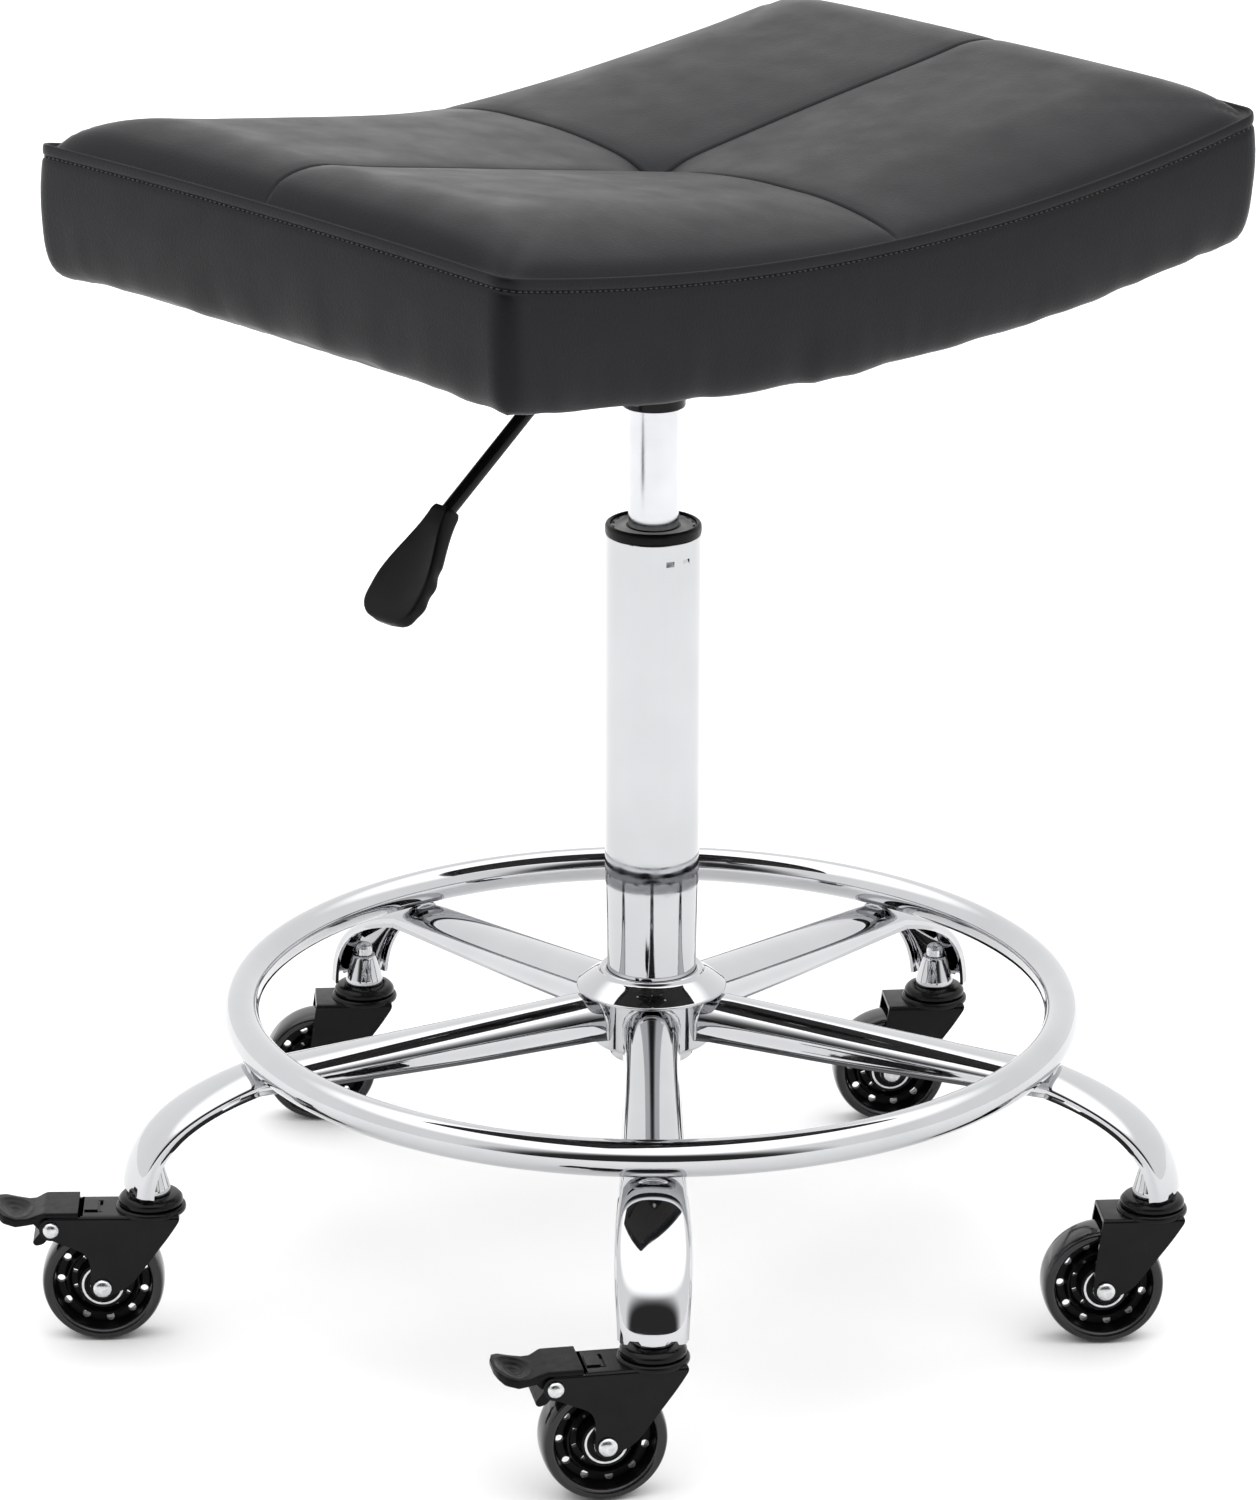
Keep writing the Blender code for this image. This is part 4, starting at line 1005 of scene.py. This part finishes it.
COLUMN_RADIUS = span("gas_column").x / 2
COLUMN_BOTTOM = low_z("gas_column")
COLUMN_TOP = high_z("gas_column")
COLUMN_END_RADIUS = 22.3
TAPER_TOP = 238.0
COLUMN_WALL = 1.6
CAP_TOP = high_z("column_cap")
CYLINDER_RADIUS = span("gas_cylinder").x / 2
ROD_BORE = 5.3
PUNCH_DROP = 11.0
PUNCH_ANGLES = (-43.0, -20.5)


def column_radius(height):
    share = (height - COLUMN_BOTTOM) / (TAPER_TOP - COLUMN_BOTTOM)
    return COLUMN_END_RADIUS + (COLUMN_RADIUS - COLUMN_END_RADIUS) * min(share, 1.0)


def column_mesh():
    """The outer tube, with two crimps punched near its mouth to hold the bushing."""
    inner = COLUMN_RADIUS - COLUMN_WALL
    floor = COLUMN_BOTTOM + 4.2
    shell = turned([(ROD_BORE, COLUMN_BOTTOM), (COLUMN_END_RADIUS, COLUMN_BOTTOM, 2.2),
                    (column_radius(COLUMN_BOTTOM + 6.0), COLUMN_BOTTOM + 6.0, 0.0),
                    (column_radius(195.0), 195.0, 0.0), (COLUMN_RADIUS, TAPER_TOP, 30.0),
                    (COLUMN_RADIUS, COLUMN_TOP, 0.7), (inner, COLUMN_TOP, 0.4), (inner, TAPER_TOP, 0.0),
                    (COLUMN_END_RADIUS - COLUMN_WALL, floor, 0.0), (ROD_BORE, floor)], 0.5, 160, steps=6)
    slope = Matrix.Rotation(math.radians(-16.0), 4, "Y")
    out = Matrix.Translation(((COLUMN_RADIUS + 1.25) * MM, 0.0, (COLUMN_TOP - PUNCH_DROP) * MM))
    for angle in PUNCH_ANGLES:
        cutter = block((-1.6, -2.2, -2.0), (1.6, 2.2, 2.4))
        turn = Matrix.Rotation(CAMERA_HEADING + math.pi - math.radians(angle), 4, "Z")
        shell = combine(shell, moved(cutter, turn @ out @ slope))
    return shell


def cap_mesh():
    inner = 22.5
    low = COLUMN_TOP + 0.3
    return turned([(inner, low), (COLUMN_RADIUS, low, 0.3), (COLUMN_RADIUS + 0.15, low + 1.0, 0.5),
                   (COLUMN_RADIUS + 0.15, CAP_TOP - 1.0, 1.6), (COLUMN_RADIUS - 1.6, CAP_TOP, 0.8),
                   (inner, CAP_TOP - 0.6, 0.3)], 0.3, 144)


def bushing_mesh():
    """The guide's flanged mouth: a pale ring with a row of slots round its rim."""
    slide = CYLINDER_RADIUS + 0.3
    body = COLUMN_RADIUS - COLUMN_WALL - 0.3
    flange = 22.2
    low, high = low_z("guide_bushing"), high_z("guide_bushing")
    ring = turned([(slide, low), (body, low), (body, COLUMN_TOP - 1.2), (flange, COLUMN_TOP - 1.2),
                   (flange, high, 0.5), (20.4, high, 0.3), (19.8, high - 1.0, 0.4), (16.6, high - 1.0, 0.6),
                   (slide + 0.9, high - 0.2, 0.5), (slide, high - 0.8)], 0.3, 144)
    slots = []
    count = 18
    for k in range(count):
        cutter = block((20.3, -1.9, -1.1), (21.9, 1.9, 2.0))
        slots.append(moved(shifted(cutter, z=high), Matrix.Rotation(2 * math.pi * (k + 0.5) / count, 4, "Z")))
    return combine(ring, joined(*slots))


def slot_shadow_mesh():
    """A black ring at the floor of the bushing's slots: painted shadow that makes the slots read dark."""
    high = high_z("guide_bushing")
    return lathe([(20.35, high - 1.05), (21.85, high - 1.05), (21.85, high - 0.85), (20.35, high - 0.85)], 96)


def cylinder_mesh():
    low, high = low_z("gas_cylinder"), high_z("gas_cylinder")
    profile = rounded([(ROD_BORE, low), (CYLINDER_RADIUS, low, 1.2), (CYLINDER_RADIUS, high, 1.5),
                       (ROD_BORE, high, 0.3), (ROD_BORE, high - 17.0), (0.0, high - 17.0)], 0.3)
    return lathe([(0.0, low + 8.0), (ROD_BORE, low + 8.0)] + profile, 128)


def piston_rod_mesh():
    low, high = low_z("piston_rod"), high_z("piston_rod")
    collar = COLUMN_BOTTOM + 4.5
    grooves = [(4.9 - 0.35 * (k % 2), low + 1.2 + 0.55 * k) for k in range(9)]
    upper = [(5.0, collar), (11.0, collar), (11.0, collar + 4.0), (5.0, collar + 4.0), (5.0, high - 10.0),
             (10.7, high - 10.0), (10.7, high), (0.0, high)]
    return lathe([(0.0, low), (4.2, low)] + grooves + upper, 48)


def clip_mesh():
    low, high = low_z("piston_clip"), high_z("piston_clip")
    washer = turned([(ROD_BORE, low), (11.0, low, 0.5), (11.0, high, 0.5), (ROD_BORE, high)], 0.2, 64)
    gap = block((4.0, -1.1, low - 1.0), (13.0, 1.1, high + 1.0))
    return combine(washer, gap)


def build_lift():
    add("column_tube", column_mesh(), "chrome", "base", ["gas_column"], smooth=30.0)
    add("column_collar", cap_mesh(), "black_plastic", "base", ["column_cap"])
    add("bushing_ring", bushing_mesh(), "grey_plastic", "base", ["guide_bushing"], smooth=30.0)
    # A black ring at the slots' floor: painted shadow in the bushing's slots.
    add("bushing_slot_painted_shadow", slot_shadow_mesh(), "black_plastic", "base")
    # A black ring round the cylinder at the bushing's mouth: painted shade in the gap between the bushing and
    # the cylinder.
    inner = CYLINDER_RADIUS + 0.25
    painted_gap_shade = turned([(inner, CAP_TOP - 3.0), (CYLINDER_RADIUS + 1.5, CAP_TOP - 3.0),
                    (CYLINDER_RADIUS + 1.4, CAP_TOP - 1.9, 0.4), (inner, CAP_TOP - 1.4)], 0.2, 128)
    add("painted_gap_shade_ring", painted_gap_shade, "black_plastic", "base")
    add("cylinder_tube", cylinder_mesh(), "satin_steel", "seat", ["gas_cylinder"])
    add("inner_rod", piston_rod_mesh(), "zinc", "swivel", ["piston_rod"])
    add("rod_clip", clip_mesh(), "zinc", "swivel", ["piston_clip"])


# Base

HUB_BOTTOM = low_z("base_hub")
HUB_TOP = high_z("base_hub")
HUB_RADIUS = 31.7
FLANGE_RADIUS = span("base_hub").x / 2
FLANGE_HEIGHT = HUB_TOP - 10.0
RING_TUBE = span("foot_ring").z / 2
RING_RADIUS = span("foot_ring").x / 2 - RING_TUBE
RING_HEIGHT = middle("foot_ring").z
LEG_SLOPE = -0.104
LEG_CREST = RING_HEIGHT - (RING_TUBE + 0.3) * math.sqrt(1 + LEG_SLOPE ** 2) - 0.05
LEG_STRAIGHT_END = 221.0
LEG_HUB_HEIGHT = 162.6
LEG_TIP = (STEM_OUT + 13.3, 83.5)
LEG_WALL = 1.8
LEG_STRAIGHT_STEPS = 26
LEG_BEND_STEPS = 44
LEG_WIDTHS = ((HUB_RADIUS, 28.0), (110.0, 29.0), (190.0, 31.0), (222.0, 33.0), (240.0, 35.5), (259.0, 37.0),
              (278.0, 37.0), (298.0, 35.5), (317.0, 33.2))
LEG_DEPTHS = ((HUB_RADIUS, 22.0), (110.0, 18.5), (190.0, 13.0), (222.0, 10.5), (240.0, 9.0), (259.0, 8.5),
              (278.0, 8.5), (298.0, 10.0), (317.0, 11.0))


def hub_mesh():
    """A turned socket: body, thin conical flange, and a small neck that grips the column."""
    def bore(height):
        return column_radius(height) + 0.3

    lip = FLANGE_HEIGHT - 1.8
    return turned([(bore(HUB_BOTTOM), HUB_BOTTOM), (HUB_RADIUS - 1.0, HUB_BOTTOM, 0.6),
                   (HUB_RADIUS, HUB_BOTTOM + 1.4, 0.8), (HUB_RADIUS, lip - 0.4, 0.6),
                   (FLANGE_RADIUS - 2.0, lip, 1.2), (FLANGE_RADIUS, lip + 0.5, 0.5),
                   (FLANGE_RADIUS, FLANGE_HEIGHT, 0.7), (34.0, FLANGE_HEIGHT + 4.0, 6.0),
                   (27.9, HUB_TOP - 2.6, 1.2), (27.2, HUB_TOP - 0.4, 1.0), (26.2, HUB_TOP, 0.8),
                   (bore(HUB_TOP) + 0.1, HUB_TOP - 0.8)], 0.5, 160, steps=6)


def ridge_height(radius):
    """The straight part of a leg's ridge, which runs just under the foot ring."""
    return LEG_CREST + LEG_SLOPE * (radius - RING_RADIUS)


def leg_route():
    """Ridge points from hub to tip, as (radius, height), with the distance run so far."""
    points = []
    for step in range(LEG_STRAIGHT_STEPS):
        radius = HUB_RADIUS + (LEG_STRAIGHT_END - HUB_RADIUS) * step / LEG_STRAIGHT_STEPS
        points.append(Vector((radius, min(ridge_height(radius), LEG_HUB_HEIGHT))))
    start = Vector((LEG_STRAIGHT_END, ridge_height(LEG_STRAIGHT_END)))
    anchors = (start, Vector((247.0, 134.5)), Vector((284.0, 120.0)), Vector(LEG_TIP))
    for step in range(LEG_BEND_STEPS + 1):
        t = step / LEG_BEND_STEPS
        weights = ((1 - t) ** 3, 3 * t * (1 - t) ** 2, 3 * t * t * (1 - t), t ** 3)
        points.append(sum((w * a for w, a in zip(weights, anchors)), Vector((0.0, 0.0))))
    run = [HUB_RADIUS]
    for before, here in zip(points, points[1:]):
        run.append(run[-1] + (here - before).length)
    return points, run


def eased(table, where):
    """Read a table of (place, value) with soft changes between its rows."""
    places = [row[0] for row in table]
    values = [row[1] for row in table]
    spread = 14.0
    samples = [float(np.interp(where + spread * k / 4, places, values)) for k in range(-4, 5)]
    return sum(samples) / len(samples)


def leg_mesh():
    """A pressed channel: rounded ridge, straight sides with rolled lips, and a cut-away tip."""
    points, run = leg_route()
    arch_angles = [math.radians(a) for a in range(-90, 91, 6)]
    loops = []
    last = len(points) - 1
    for index, (centre, distance) in enumerate(zip(points, run)):
        tangent = (points[min(index + 1, last)] - points[max(index - 1, 0)]).normalized()
        inward = Vector((tangent.y, -tangent.x))
        width = eased(LEG_WIDTHS, distance)
        depth = eased(LEG_DEPTHS, distance)
        loop = []
        for wall in (0.0, LEG_WALL):
            half = width / 2 - wall
            arch = depth * 0.62 - wall
            side = []
            for a in arch_angles:
                blunt = math.copysign(abs(math.sin(a)) ** 0.92, a)
                side.append((half * blunt, wall + arch * (1 - abs(math.cos(a)) ** 0.92)))
            lip = 0.9 if wall == 0.0 else 0.6
            straight = [(half, depth * 0.78), (half + lip * 0.2, depth - 1.9),
                        (half + lip * 0.7, depth - 0.8), (half + lip, depth)]
            outline = [(-x, z) for x, z in reversed(straight)] + side + straight
            loop += outline if wall == 0.0 else outline[::-1]
        placed = []
        for across, down in loop:
            spot = centre + inward * down
            radius = spot.x
            if index == 0:
                radius = math.sqrt(HUB_RADIUS ** 2 - across ** 2) + 0.1
            if index == last:
                lean = abs(across) / (width / 2)
                if 0.42 < lean < 0.72:
                    spot = spot - tangent * 2.0
                    radius = spot.x
            placed.append((radius, across, spot.y))
        loops.append(placed)
    count = len(loops[0])
    half_count = count // 2
    verts = [p for loop in loops for p in loop]
    faces = []
    for row in range(len(loops) - 1):
        faces += ring_faces(row * count, (row + 1) * count, count)
    for first in (0, (len(loops) - 1) * count):
        for step in range(half_count - 1):
            mirror = count - 1 - step
            faces.append([first + step, first + step + 1, first + mirror - 1, first + mirror])
    return mesh_from(verts, faces)


def hub_weld_mesh():
    """The fillet weld that follows the leg's arch on the hub."""
    half = LEG_WIDTHS[0][1] / 2 + 0.4
    depth = LEG_DEPTHS[0][1]
    outline = [(-half, -depth), (-half, -depth * 0.8)]
    outline += [(half * math.sin(a), -depth * 0.62 * (1 - math.cos(a)) + 0.3)
                for a in (math.radians(d) for d in range(-90, 91, 5))]
    outline += [(half, -depth * 0.8), (half, -depth)]
    points = []
    for across, rise in outline:
        radius = math.sqrt(HUB_RADIUS ** 2 - across ** 2) + 0.5
        points.append((radius, across, LEG_HUB_HEIGHT + rise))
    return weld_bead(points, 1.5)


def ring_weld_mesh():
    """Short beads where the foot ring rests across the leg, on both sides of the ring."""
    beads = []
    for sign in (-1.0, 1.0):
        points = []
        for k in range(-10, 11):
            across = k * 0.85
            radius = RING_RADIUS + sign * 4.2
            drop = 0.045 * across ** 2
            bow = math.sqrt(radius ** 2 - across ** 2)
            points.append((bow, across, ridge_height(radius) + 0.9 - drop))
        beads.append(weld_bead(points, 1.25))
    return joined(*beads)


def foot_ring_mesh():
    points = []
    segments = 288
    for k in range(segments):
        a = 2 * math.pi * k / segments
        points.append((RING_RADIUS * math.cos(a), RING_RADIUS * math.sin(a), RING_HEIGHT))
    return tube(points, RING_TUBE, sides=48, closed=True)


def build_base():
    add("hub_socket", hub_mesh(), "chrome", "base", ["base_hub"])
    add("foot_rest_ring", foot_ring_mesh(), "chrome", "base", ["foot_ring"], smooth=80.0)
    leg = leg_mesh()
    hub_weld = hub_weld_mesh()
    ring_weld = ring_weld_mesh()
    for number in LEG_NUMBERS:
        place = leg_place(number)
        add(f"leg_channel_{number}", leg, "chrome", "base", [f"leg_{number}"], place=place, smooth=42.0)
        add(f"hub_weld_{number}", hub_weld, "chrome", "base", place=place, smooth=80.0)
        add(f"ring_weld_{number}", ring_weld, "chrome", "base", place=place, smooth=80.0)


# Casters

FORK_HALF = 15.0
FORK_SHEET = 2.0
FORK_TOP = 72.0
DISH_RADIUS = 18.4
DISH_TOP = 74.0
CUP_RADIUS = span("stem_1").x / 2
CUP_TOP = 80.0
SOCKET_TOP = high_z("stem_socket_1")
STEM_TOP = high_z("stem_1")
BEARING_RADIUS = 11.0
BEARING_FACE = 11.2
HOLE_COUNT = 11
HOLE_OUT = 22.1
HOLE_RADIUS = 2.1


def socket_mesh():
    """The chrome cone inside the leg's tip that takes the stem."""
    low = low_z("stem_socket_1")
    return turned([(4.3, low), (10.4, low, 0.5), (10.4, low + 3.0, 0.8), (6.9, SOCKET_TOP - 1.2, 0.6),
                   (6.3, SOCKET_TOP, 0.5), (4.3, SOCKET_TOP)], 0.4, 72)


def cup_mesh():
    """The upper race: a pressed black cup over the fork's dish."""
    low = DISH_TOP + 0.3
    return turned([(4.6, low), (CUP_RADIUS - 0.6, low, 0.5), (CUP_RADIUS, low + 0.9, 0.9),
                   (CUP_RADIUS, CUP_TOP - 2.6, 1.8), (CUP_RADIUS - 2.0, CUP_TOP - 0.5, 1.0),
                   (11.5, CUP_TOP, 0.6), (4.6, CUP_TOP)], 0.4, 96, steps=5)


def kingpin_mesh():
    """The riveted stem: rod, domed head above the socket, and the flattened head under the fork."""
    low = low_z("stem_1")
    profile = [(0.0, low), (5.8, low + 0.3), (7.2, low + 1.2), (7.2, low + 3.2), (4.4, low + 3.4),
               (4.0, DISH_TOP), (4.0, SOCKET_TOP + 0.3), (4.8, SOCKET_TOP + 0.3), (4.9, SOCKET_TOP + 3.6)]
    dome = [(4.9 * math.cos(a), SOCKET_TOP + 3.6 + (STEM_TOP - SOCKET_TOP - 3.6) * math.sin(a))
            for a in (math.radians(d) for d in range(15, 90, 15))]
    return lathe(profile + dome + [(0.0, STEM_TOP)], 64)


def fork_outline(braked):
    """The side plate's outline, as (trail, height)."""
    axle = (TRAIL, WHEEL_RADIUS)
    front = [(-15.0, FORK_TOP, 0.8), (-15.4, 69.6, 2.5), (-9.8, 60.8, 5.0), (11.0, 32.8, 5.0)]
    foot = [(x, z, 0.0) for x, z in arc(axle, 6.3, 222.0, 372.0, 18)]
    if not braked:
        return rounded(front + foot + [(31.5, 44.0, 4.0), (27.5, FORK_TOP, 1.0)], 1.0, closed=True)
    nose = [(x, z, 0.0) for x, z in arc((RIVET_OUT, RIVET_HEIGHT), 6.2, -95.0, 90.0, 16)]
    tail = [(36.3, RIVET_HEIGHT + 6.2, 1.0), (36.3, FORK_TOP, 1.0)]
    return rounded(front + foot + [(31.5, 46.0, 4.0), (34.0, 51.5, 4.0)] + nose + tail, 1.0, closed=True)


def folded_section(half, bottom, top, fold):
    """An upright U's outline as (y, z), rounded where the sheet is folded."""
    return [(-half, bottom)] + rounded([(-half, bottom + 1.0), (-half, top, fold), (half, top, fold),
                                        (half, bottom + 1.0)], fold, steps=6)[1:-1] + [(half, bottom)]


def along_x(section, start, end):
    return loft([[(x, y, z) for y, z in section] for x in (start, end)])


def fork_mesh(braked):
    """A fork folded from one sheet, with the lower race pressed up in its top."""
    body = along_x(folded_section(FORK_HALF, 20.0, FORK_TOP, 2.6), -20.0, 62.0)
    profile_cut = prism(fork_outline(braked), -FORK_HALF - 2.0, FORK_HALF + 2.0)
    body = combine(body, profile_cut, "INTERSECT")
    inner = folded_section(FORK_HALF - FORK_SHEET, -10.0, FORK_TOP - FORK_SHEET, 1.6)
    dish = turned([(0.0, FORK_TOP - 1.0), (DISH_RADIUS - 0.6, FORK_TOP - 1.6),
                   (DISH_RADIUS, FORK_TOP - 0.9, 0.8), (DISH_RADIUS, DISH_TOP - 1.2, 1.0),
                   (DISH_RADIUS - 1.0, DISH_TOP, 0.7), (0.0, DISH_TOP)], 0.5, 96)
    body = combine(body, dish, "UNION")
    body = combine(body, along_x(inner, -40.0, 80.0))
    inside = FORK_HALF - FORK_SHEET
    body = combine(body, block((35.0, -inside, 60.0), (80.0, inside, 80.0)))
    if braked:
        pad = block((27.5, -6.5, FORK_TOP - 0.5), (34.5, 6.5, FORK_TOP + 0.9))
        body = combine(body, pad, "UNION")
        body = combine(body, block((25.0, -6.8, FORK_TOP - 1.2), (26.7, 6.8, FORK_TOP + 2.0)))
        for y in (-7.9, 6.9):
            body = combine(body, block((25.0, y, FORK_TOP - 1.2), (31.5, y + 1.0, FORK_TOP + 2.0)))
    return body


def core_mesh():
    """The wheel's moulded core: bearing seat, deep groove with slots, and a drilled web."""
    half = [(BEARING_RADIUS + 0.05, BEARING_FACE - 6.0), (BEARING_RADIUS + 0.05, BEARING_FACE - 0.5),
            (BEARING_RADIUS + 0.4, BEARING_FACE - 0.2), (12.2, BEARING_FACE - 0.3),
            (12.7, BEARING_FACE - 1.2),
            (13.0, 2.2), (13.5, 1.6), (16.6, 1.6), (17.1, 2.2), (17.5, 6.2), (18.2, 6.8), (18.9, 6.4),
            (19.4, 3.6), (19.9, 1.6), (20.4, 1.3), (23.9, 1.3), (24.5, 2.2), (25.3, 8.6)]
    core = lathe(half + [(r, -z) for r, z in reversed(half)], 120)
    cutters = []
    for k in range(HOLE_COUNT):
        a = 2 * math.pi * k / HOLE_COUNT
        hole = lathe([(0.0, -12.0), (HOLE_RADIUS, -12.0), (HOLE_RADIUS, 12.0), (0.0, 12.0)], 20)
        cutters.append(shifted(hole, x=HOLE_OUT * math.cos(a), y=HOLE_OUT * math.sin(a)))
        slot = block((14.0, -0.9, -6.0), (16.3, 0.9, 6.0))
        cutters.append(moved(slot, Matrix.Rotation(a + math.pi / HOLE_COUNT, 4, "Z")))
    return on_axle(combine(core, joined(*cutters)), TRAIL, WHEEL_RADIUS)


def tyre_mesh():
    """A rounded tread over straight shoulders, with a lip down to the core."""
    half = [(25.45, 8.8), (25.45 + 0.4, 9.6), (27.0, 10.6), (28.6, 11.0), (29.8, 10.6)]
    for degrees in range(9, 90, 9):
        a = math.radians(degrees)
        half.append((29.8 + 2.2 * math.sin(a), 10.6 * math.cos(a) ** 0.75))
    profile = half + [(WHEEL_RADIUS, 0.0)] + [(r, -z) for r, z in reversed(half)]
    return on_axle(lathe(profile, 144), TRAIL, WHEEL_RADIUS)


def bearing_meshes():
    """The two ball bearings' bright races, and their dark seals."""
    face = BEARING_FACE - 0.1
    back = face - 5.5

    def ring(points, side):
        profile = [(r, side * z) for r, z in rounded(points, 0.3, closed=True, steps=2)]
        return on_axle(lathe(profile, 96), TRAIL, WHEEL_RADIUS)

    races = []
    seals = []
    for side in (-1.0, 1.0):
        races.append(ring([(9.7, back), (BEARING_RADIUS, back), (BEARING_RADIUS, face), (9.7, face)], side))
        races.append(ring([(4.4, back), (6.2, back), (6.2, face), (4.4, face)], side))
        seals.append(ring([(6.1, face - 1.6), (9.8, face - 1.6), (9.8, face - 0.5), (8.4, face - 0.35),
                           (8.1, face - 0.8), (6.1, face - 0.6)], side))
    return joined(*races), joined(*seals)


def bolt_mesh(radius, head_radius, reach, sleeve=0.0):
    """A riveted pin with a domed head at each end, and a sleeve between the fork and the bearing."""
    dome = [(head_radius * x, reach + 0.7 + 2.3 * z) for x, z in arc((0.0, 0.0), 1.0, 0.0, 80.0, 8)]
    half = [(radius, reach), (head_radius - 0.3, reach), (head_radius, reach + 0.3)]
    half += dome + [(0.0, reach + 3.0)]
    if sleeve > 0.0:
        end = FORK_HALF - FORK_SHEET - 0.1
        half = [(radius, BEARING_FACE), (sleeve, BEARING_FACE), (sleeve, end), (radius, end)] + half
    return lathe([(r, -z) for r, z in reversed(half)] + half, 64)


def pedal_lid_mesh():
    """The brake pedal's lid: a flat box, a waist, and an oval toe with a dished, ridged top."""
    rows = 56
    start, end = 37.5, 81.0
    loops = []
    for row in range(rows + 1):
        x = start + (end - start) * row / rows
        top = float(np.interp(x, (37.5, 55.0, 60.5, 64.0, 70.0, 76.0, 79.5, 81.0),
                              (74.3, 74.3, 71.9, 71.1, 71.6, 73.4, 74.7, 74.0)))
        bottom = float(np.interp(x, (37.5, 55.0, 60.5, 70.0, 77.0, 81.0),
                                 (71.5, 71.5, 67.4, 66.9, 68.8, 71.6)))
        half = float(np.interp(x, (37.5, 54.0, 60.0, 64.0, 70.0, 76.0, 79.5, 81.0),
                               (15.2, 15.2, 13.4, 14.8, 16.2, 15.2, 11.4, 6.5)))
        section = [(-half, top, 1.4)]
        for k in range(-14, 15):
            y = (half - 1.6) * k / 14
            reach = math.hypot((x - 70.5) / 8.2, y / 12.0)
            dip = 1.9 * max(1.0 - reach ** 2, 0.0)
            if reach < 1.15:
                dip -= 0.16 * math.cos(reach * 17.0)
            section.append((y, top - dip, 0.0))
        section += [(half, top, 1.4), (half, bottom, 1.2), (-half, bottom, 1.2)]
        loops.append([(x, y, z) for y, z in rounded(section, 0.8, closed=True, steps=3)])
    return loft(loops)


def pedal_lug_mesh():
    """The pedal's cheek: an eye round the rivet and a hooked tail that presses the tyre."""
    eye = [(x, z, 0.0) for x, z in arc((RIVET_OUT, RIVET_HEIGHT), 5.6, 150.0, 250.0, 8)]
    tail = [(52.5, 59.9, 1.0), (55.6, 56.0, 1.6), (60.0, 54.8, 1.6), (61.6, 57.2, 1.6), (59.0, 60.4, 1.5),
            (57.0, 63.1, 1.2), (61.0, 67.3, 1.0), (58.0, 72.0, 1.0)]
    half = FORK_HALF - FORK_SHEET - 0.6
    return prism(rounded([(45.0, 72.2, 1.0)] + eye + tail, 1.0, closed=True), -half, half)


def build_casters():
    races, seals = bearing_meshes()
    shapes = {
        "socket": socket_mesh(), "cup": cup_mesh(), "kingpin": kingpin_mesh(), "plain": fork_mesh(False),
        "braked": fork_mesh(True), "core": core_mesh(), "tyre": tyre_mesh(),
        "axle": on_axle(bolt_mesh(4.0, 5.0, FORK_HALF + 0.1, sleeve=6.4), TRAIL, WHEEL_RADIUS),
        "rivet": on_axle(bolt_mesh(2.5, 4.3, FORK_HALF + 0.1), RIVET_OUT, RIVET_HEIGHT),
        "lid": pedal_lid_mesh(), "lug": pedal_lug_mesh(),
    }
    for n in LEG_NUMBERS:
        caster, wheel, pedal = f"caster_{n}", f"wheel_{n}", f"pedal_{n}"

        def fit(name, mesh, look, body, replaces=(), **options):
            nodes = [f"{node}_{n}" for node in replaces]
            add(f"{name}_{n}", mesh, look, body, nodes, place=caster_place(n), **options)

        fork = shapes["braked" if n in BRAKED else "plain"]
        fit("stem_cone", shapes["socket"], "chrome", "base", ["stem_socket"])
        fit("race_cup", shapes["cup"], "black_metal", "base", ["stem"])
        fit("kingpin", shapes["kingpin"], "zinc", "base")
        fit("fork_sheet", fork, "black_metal", caster, ["fork"], smooth=30.0, edge=0.35)
        fit("wheel_disc", shapes["core"], "black_plastic", wheel, ["wheel_core"], smooth=30.0)
        fit("bearing_races", races, "zinc", wheel)
        fit("bearing_seals", seals, "black_plastic", wheel)
        fit("tyre_ring", shapes["tyre"], "smoked_tyre", wheel, ["tyre"], smooth=50.0)
        fit("axle_bolt", shapes["axle"], "zinc", caster, ["axle"])
        if n in BRAKED:
            fit("pedal_rivet", shapes["rivet"], "zinc", caster, ["brake_rivet"])
            fit("pedal_lid", shapes["lid"], "black_plastic", pedal, ["brake_pedal"], smooth=45.0)
            fit("pedal_lug", shapes["lug"], "black_plastic", pedal, smooth=35.0, edge=0.4)


def main():
    build_camera()
    build_world()
    build_floor()
    build_base()
    build_casters()
    build_lift()
    build_seat()
    build_lever()
    bpy.context.scene.view_settings.view_transform = "Standard"


main()
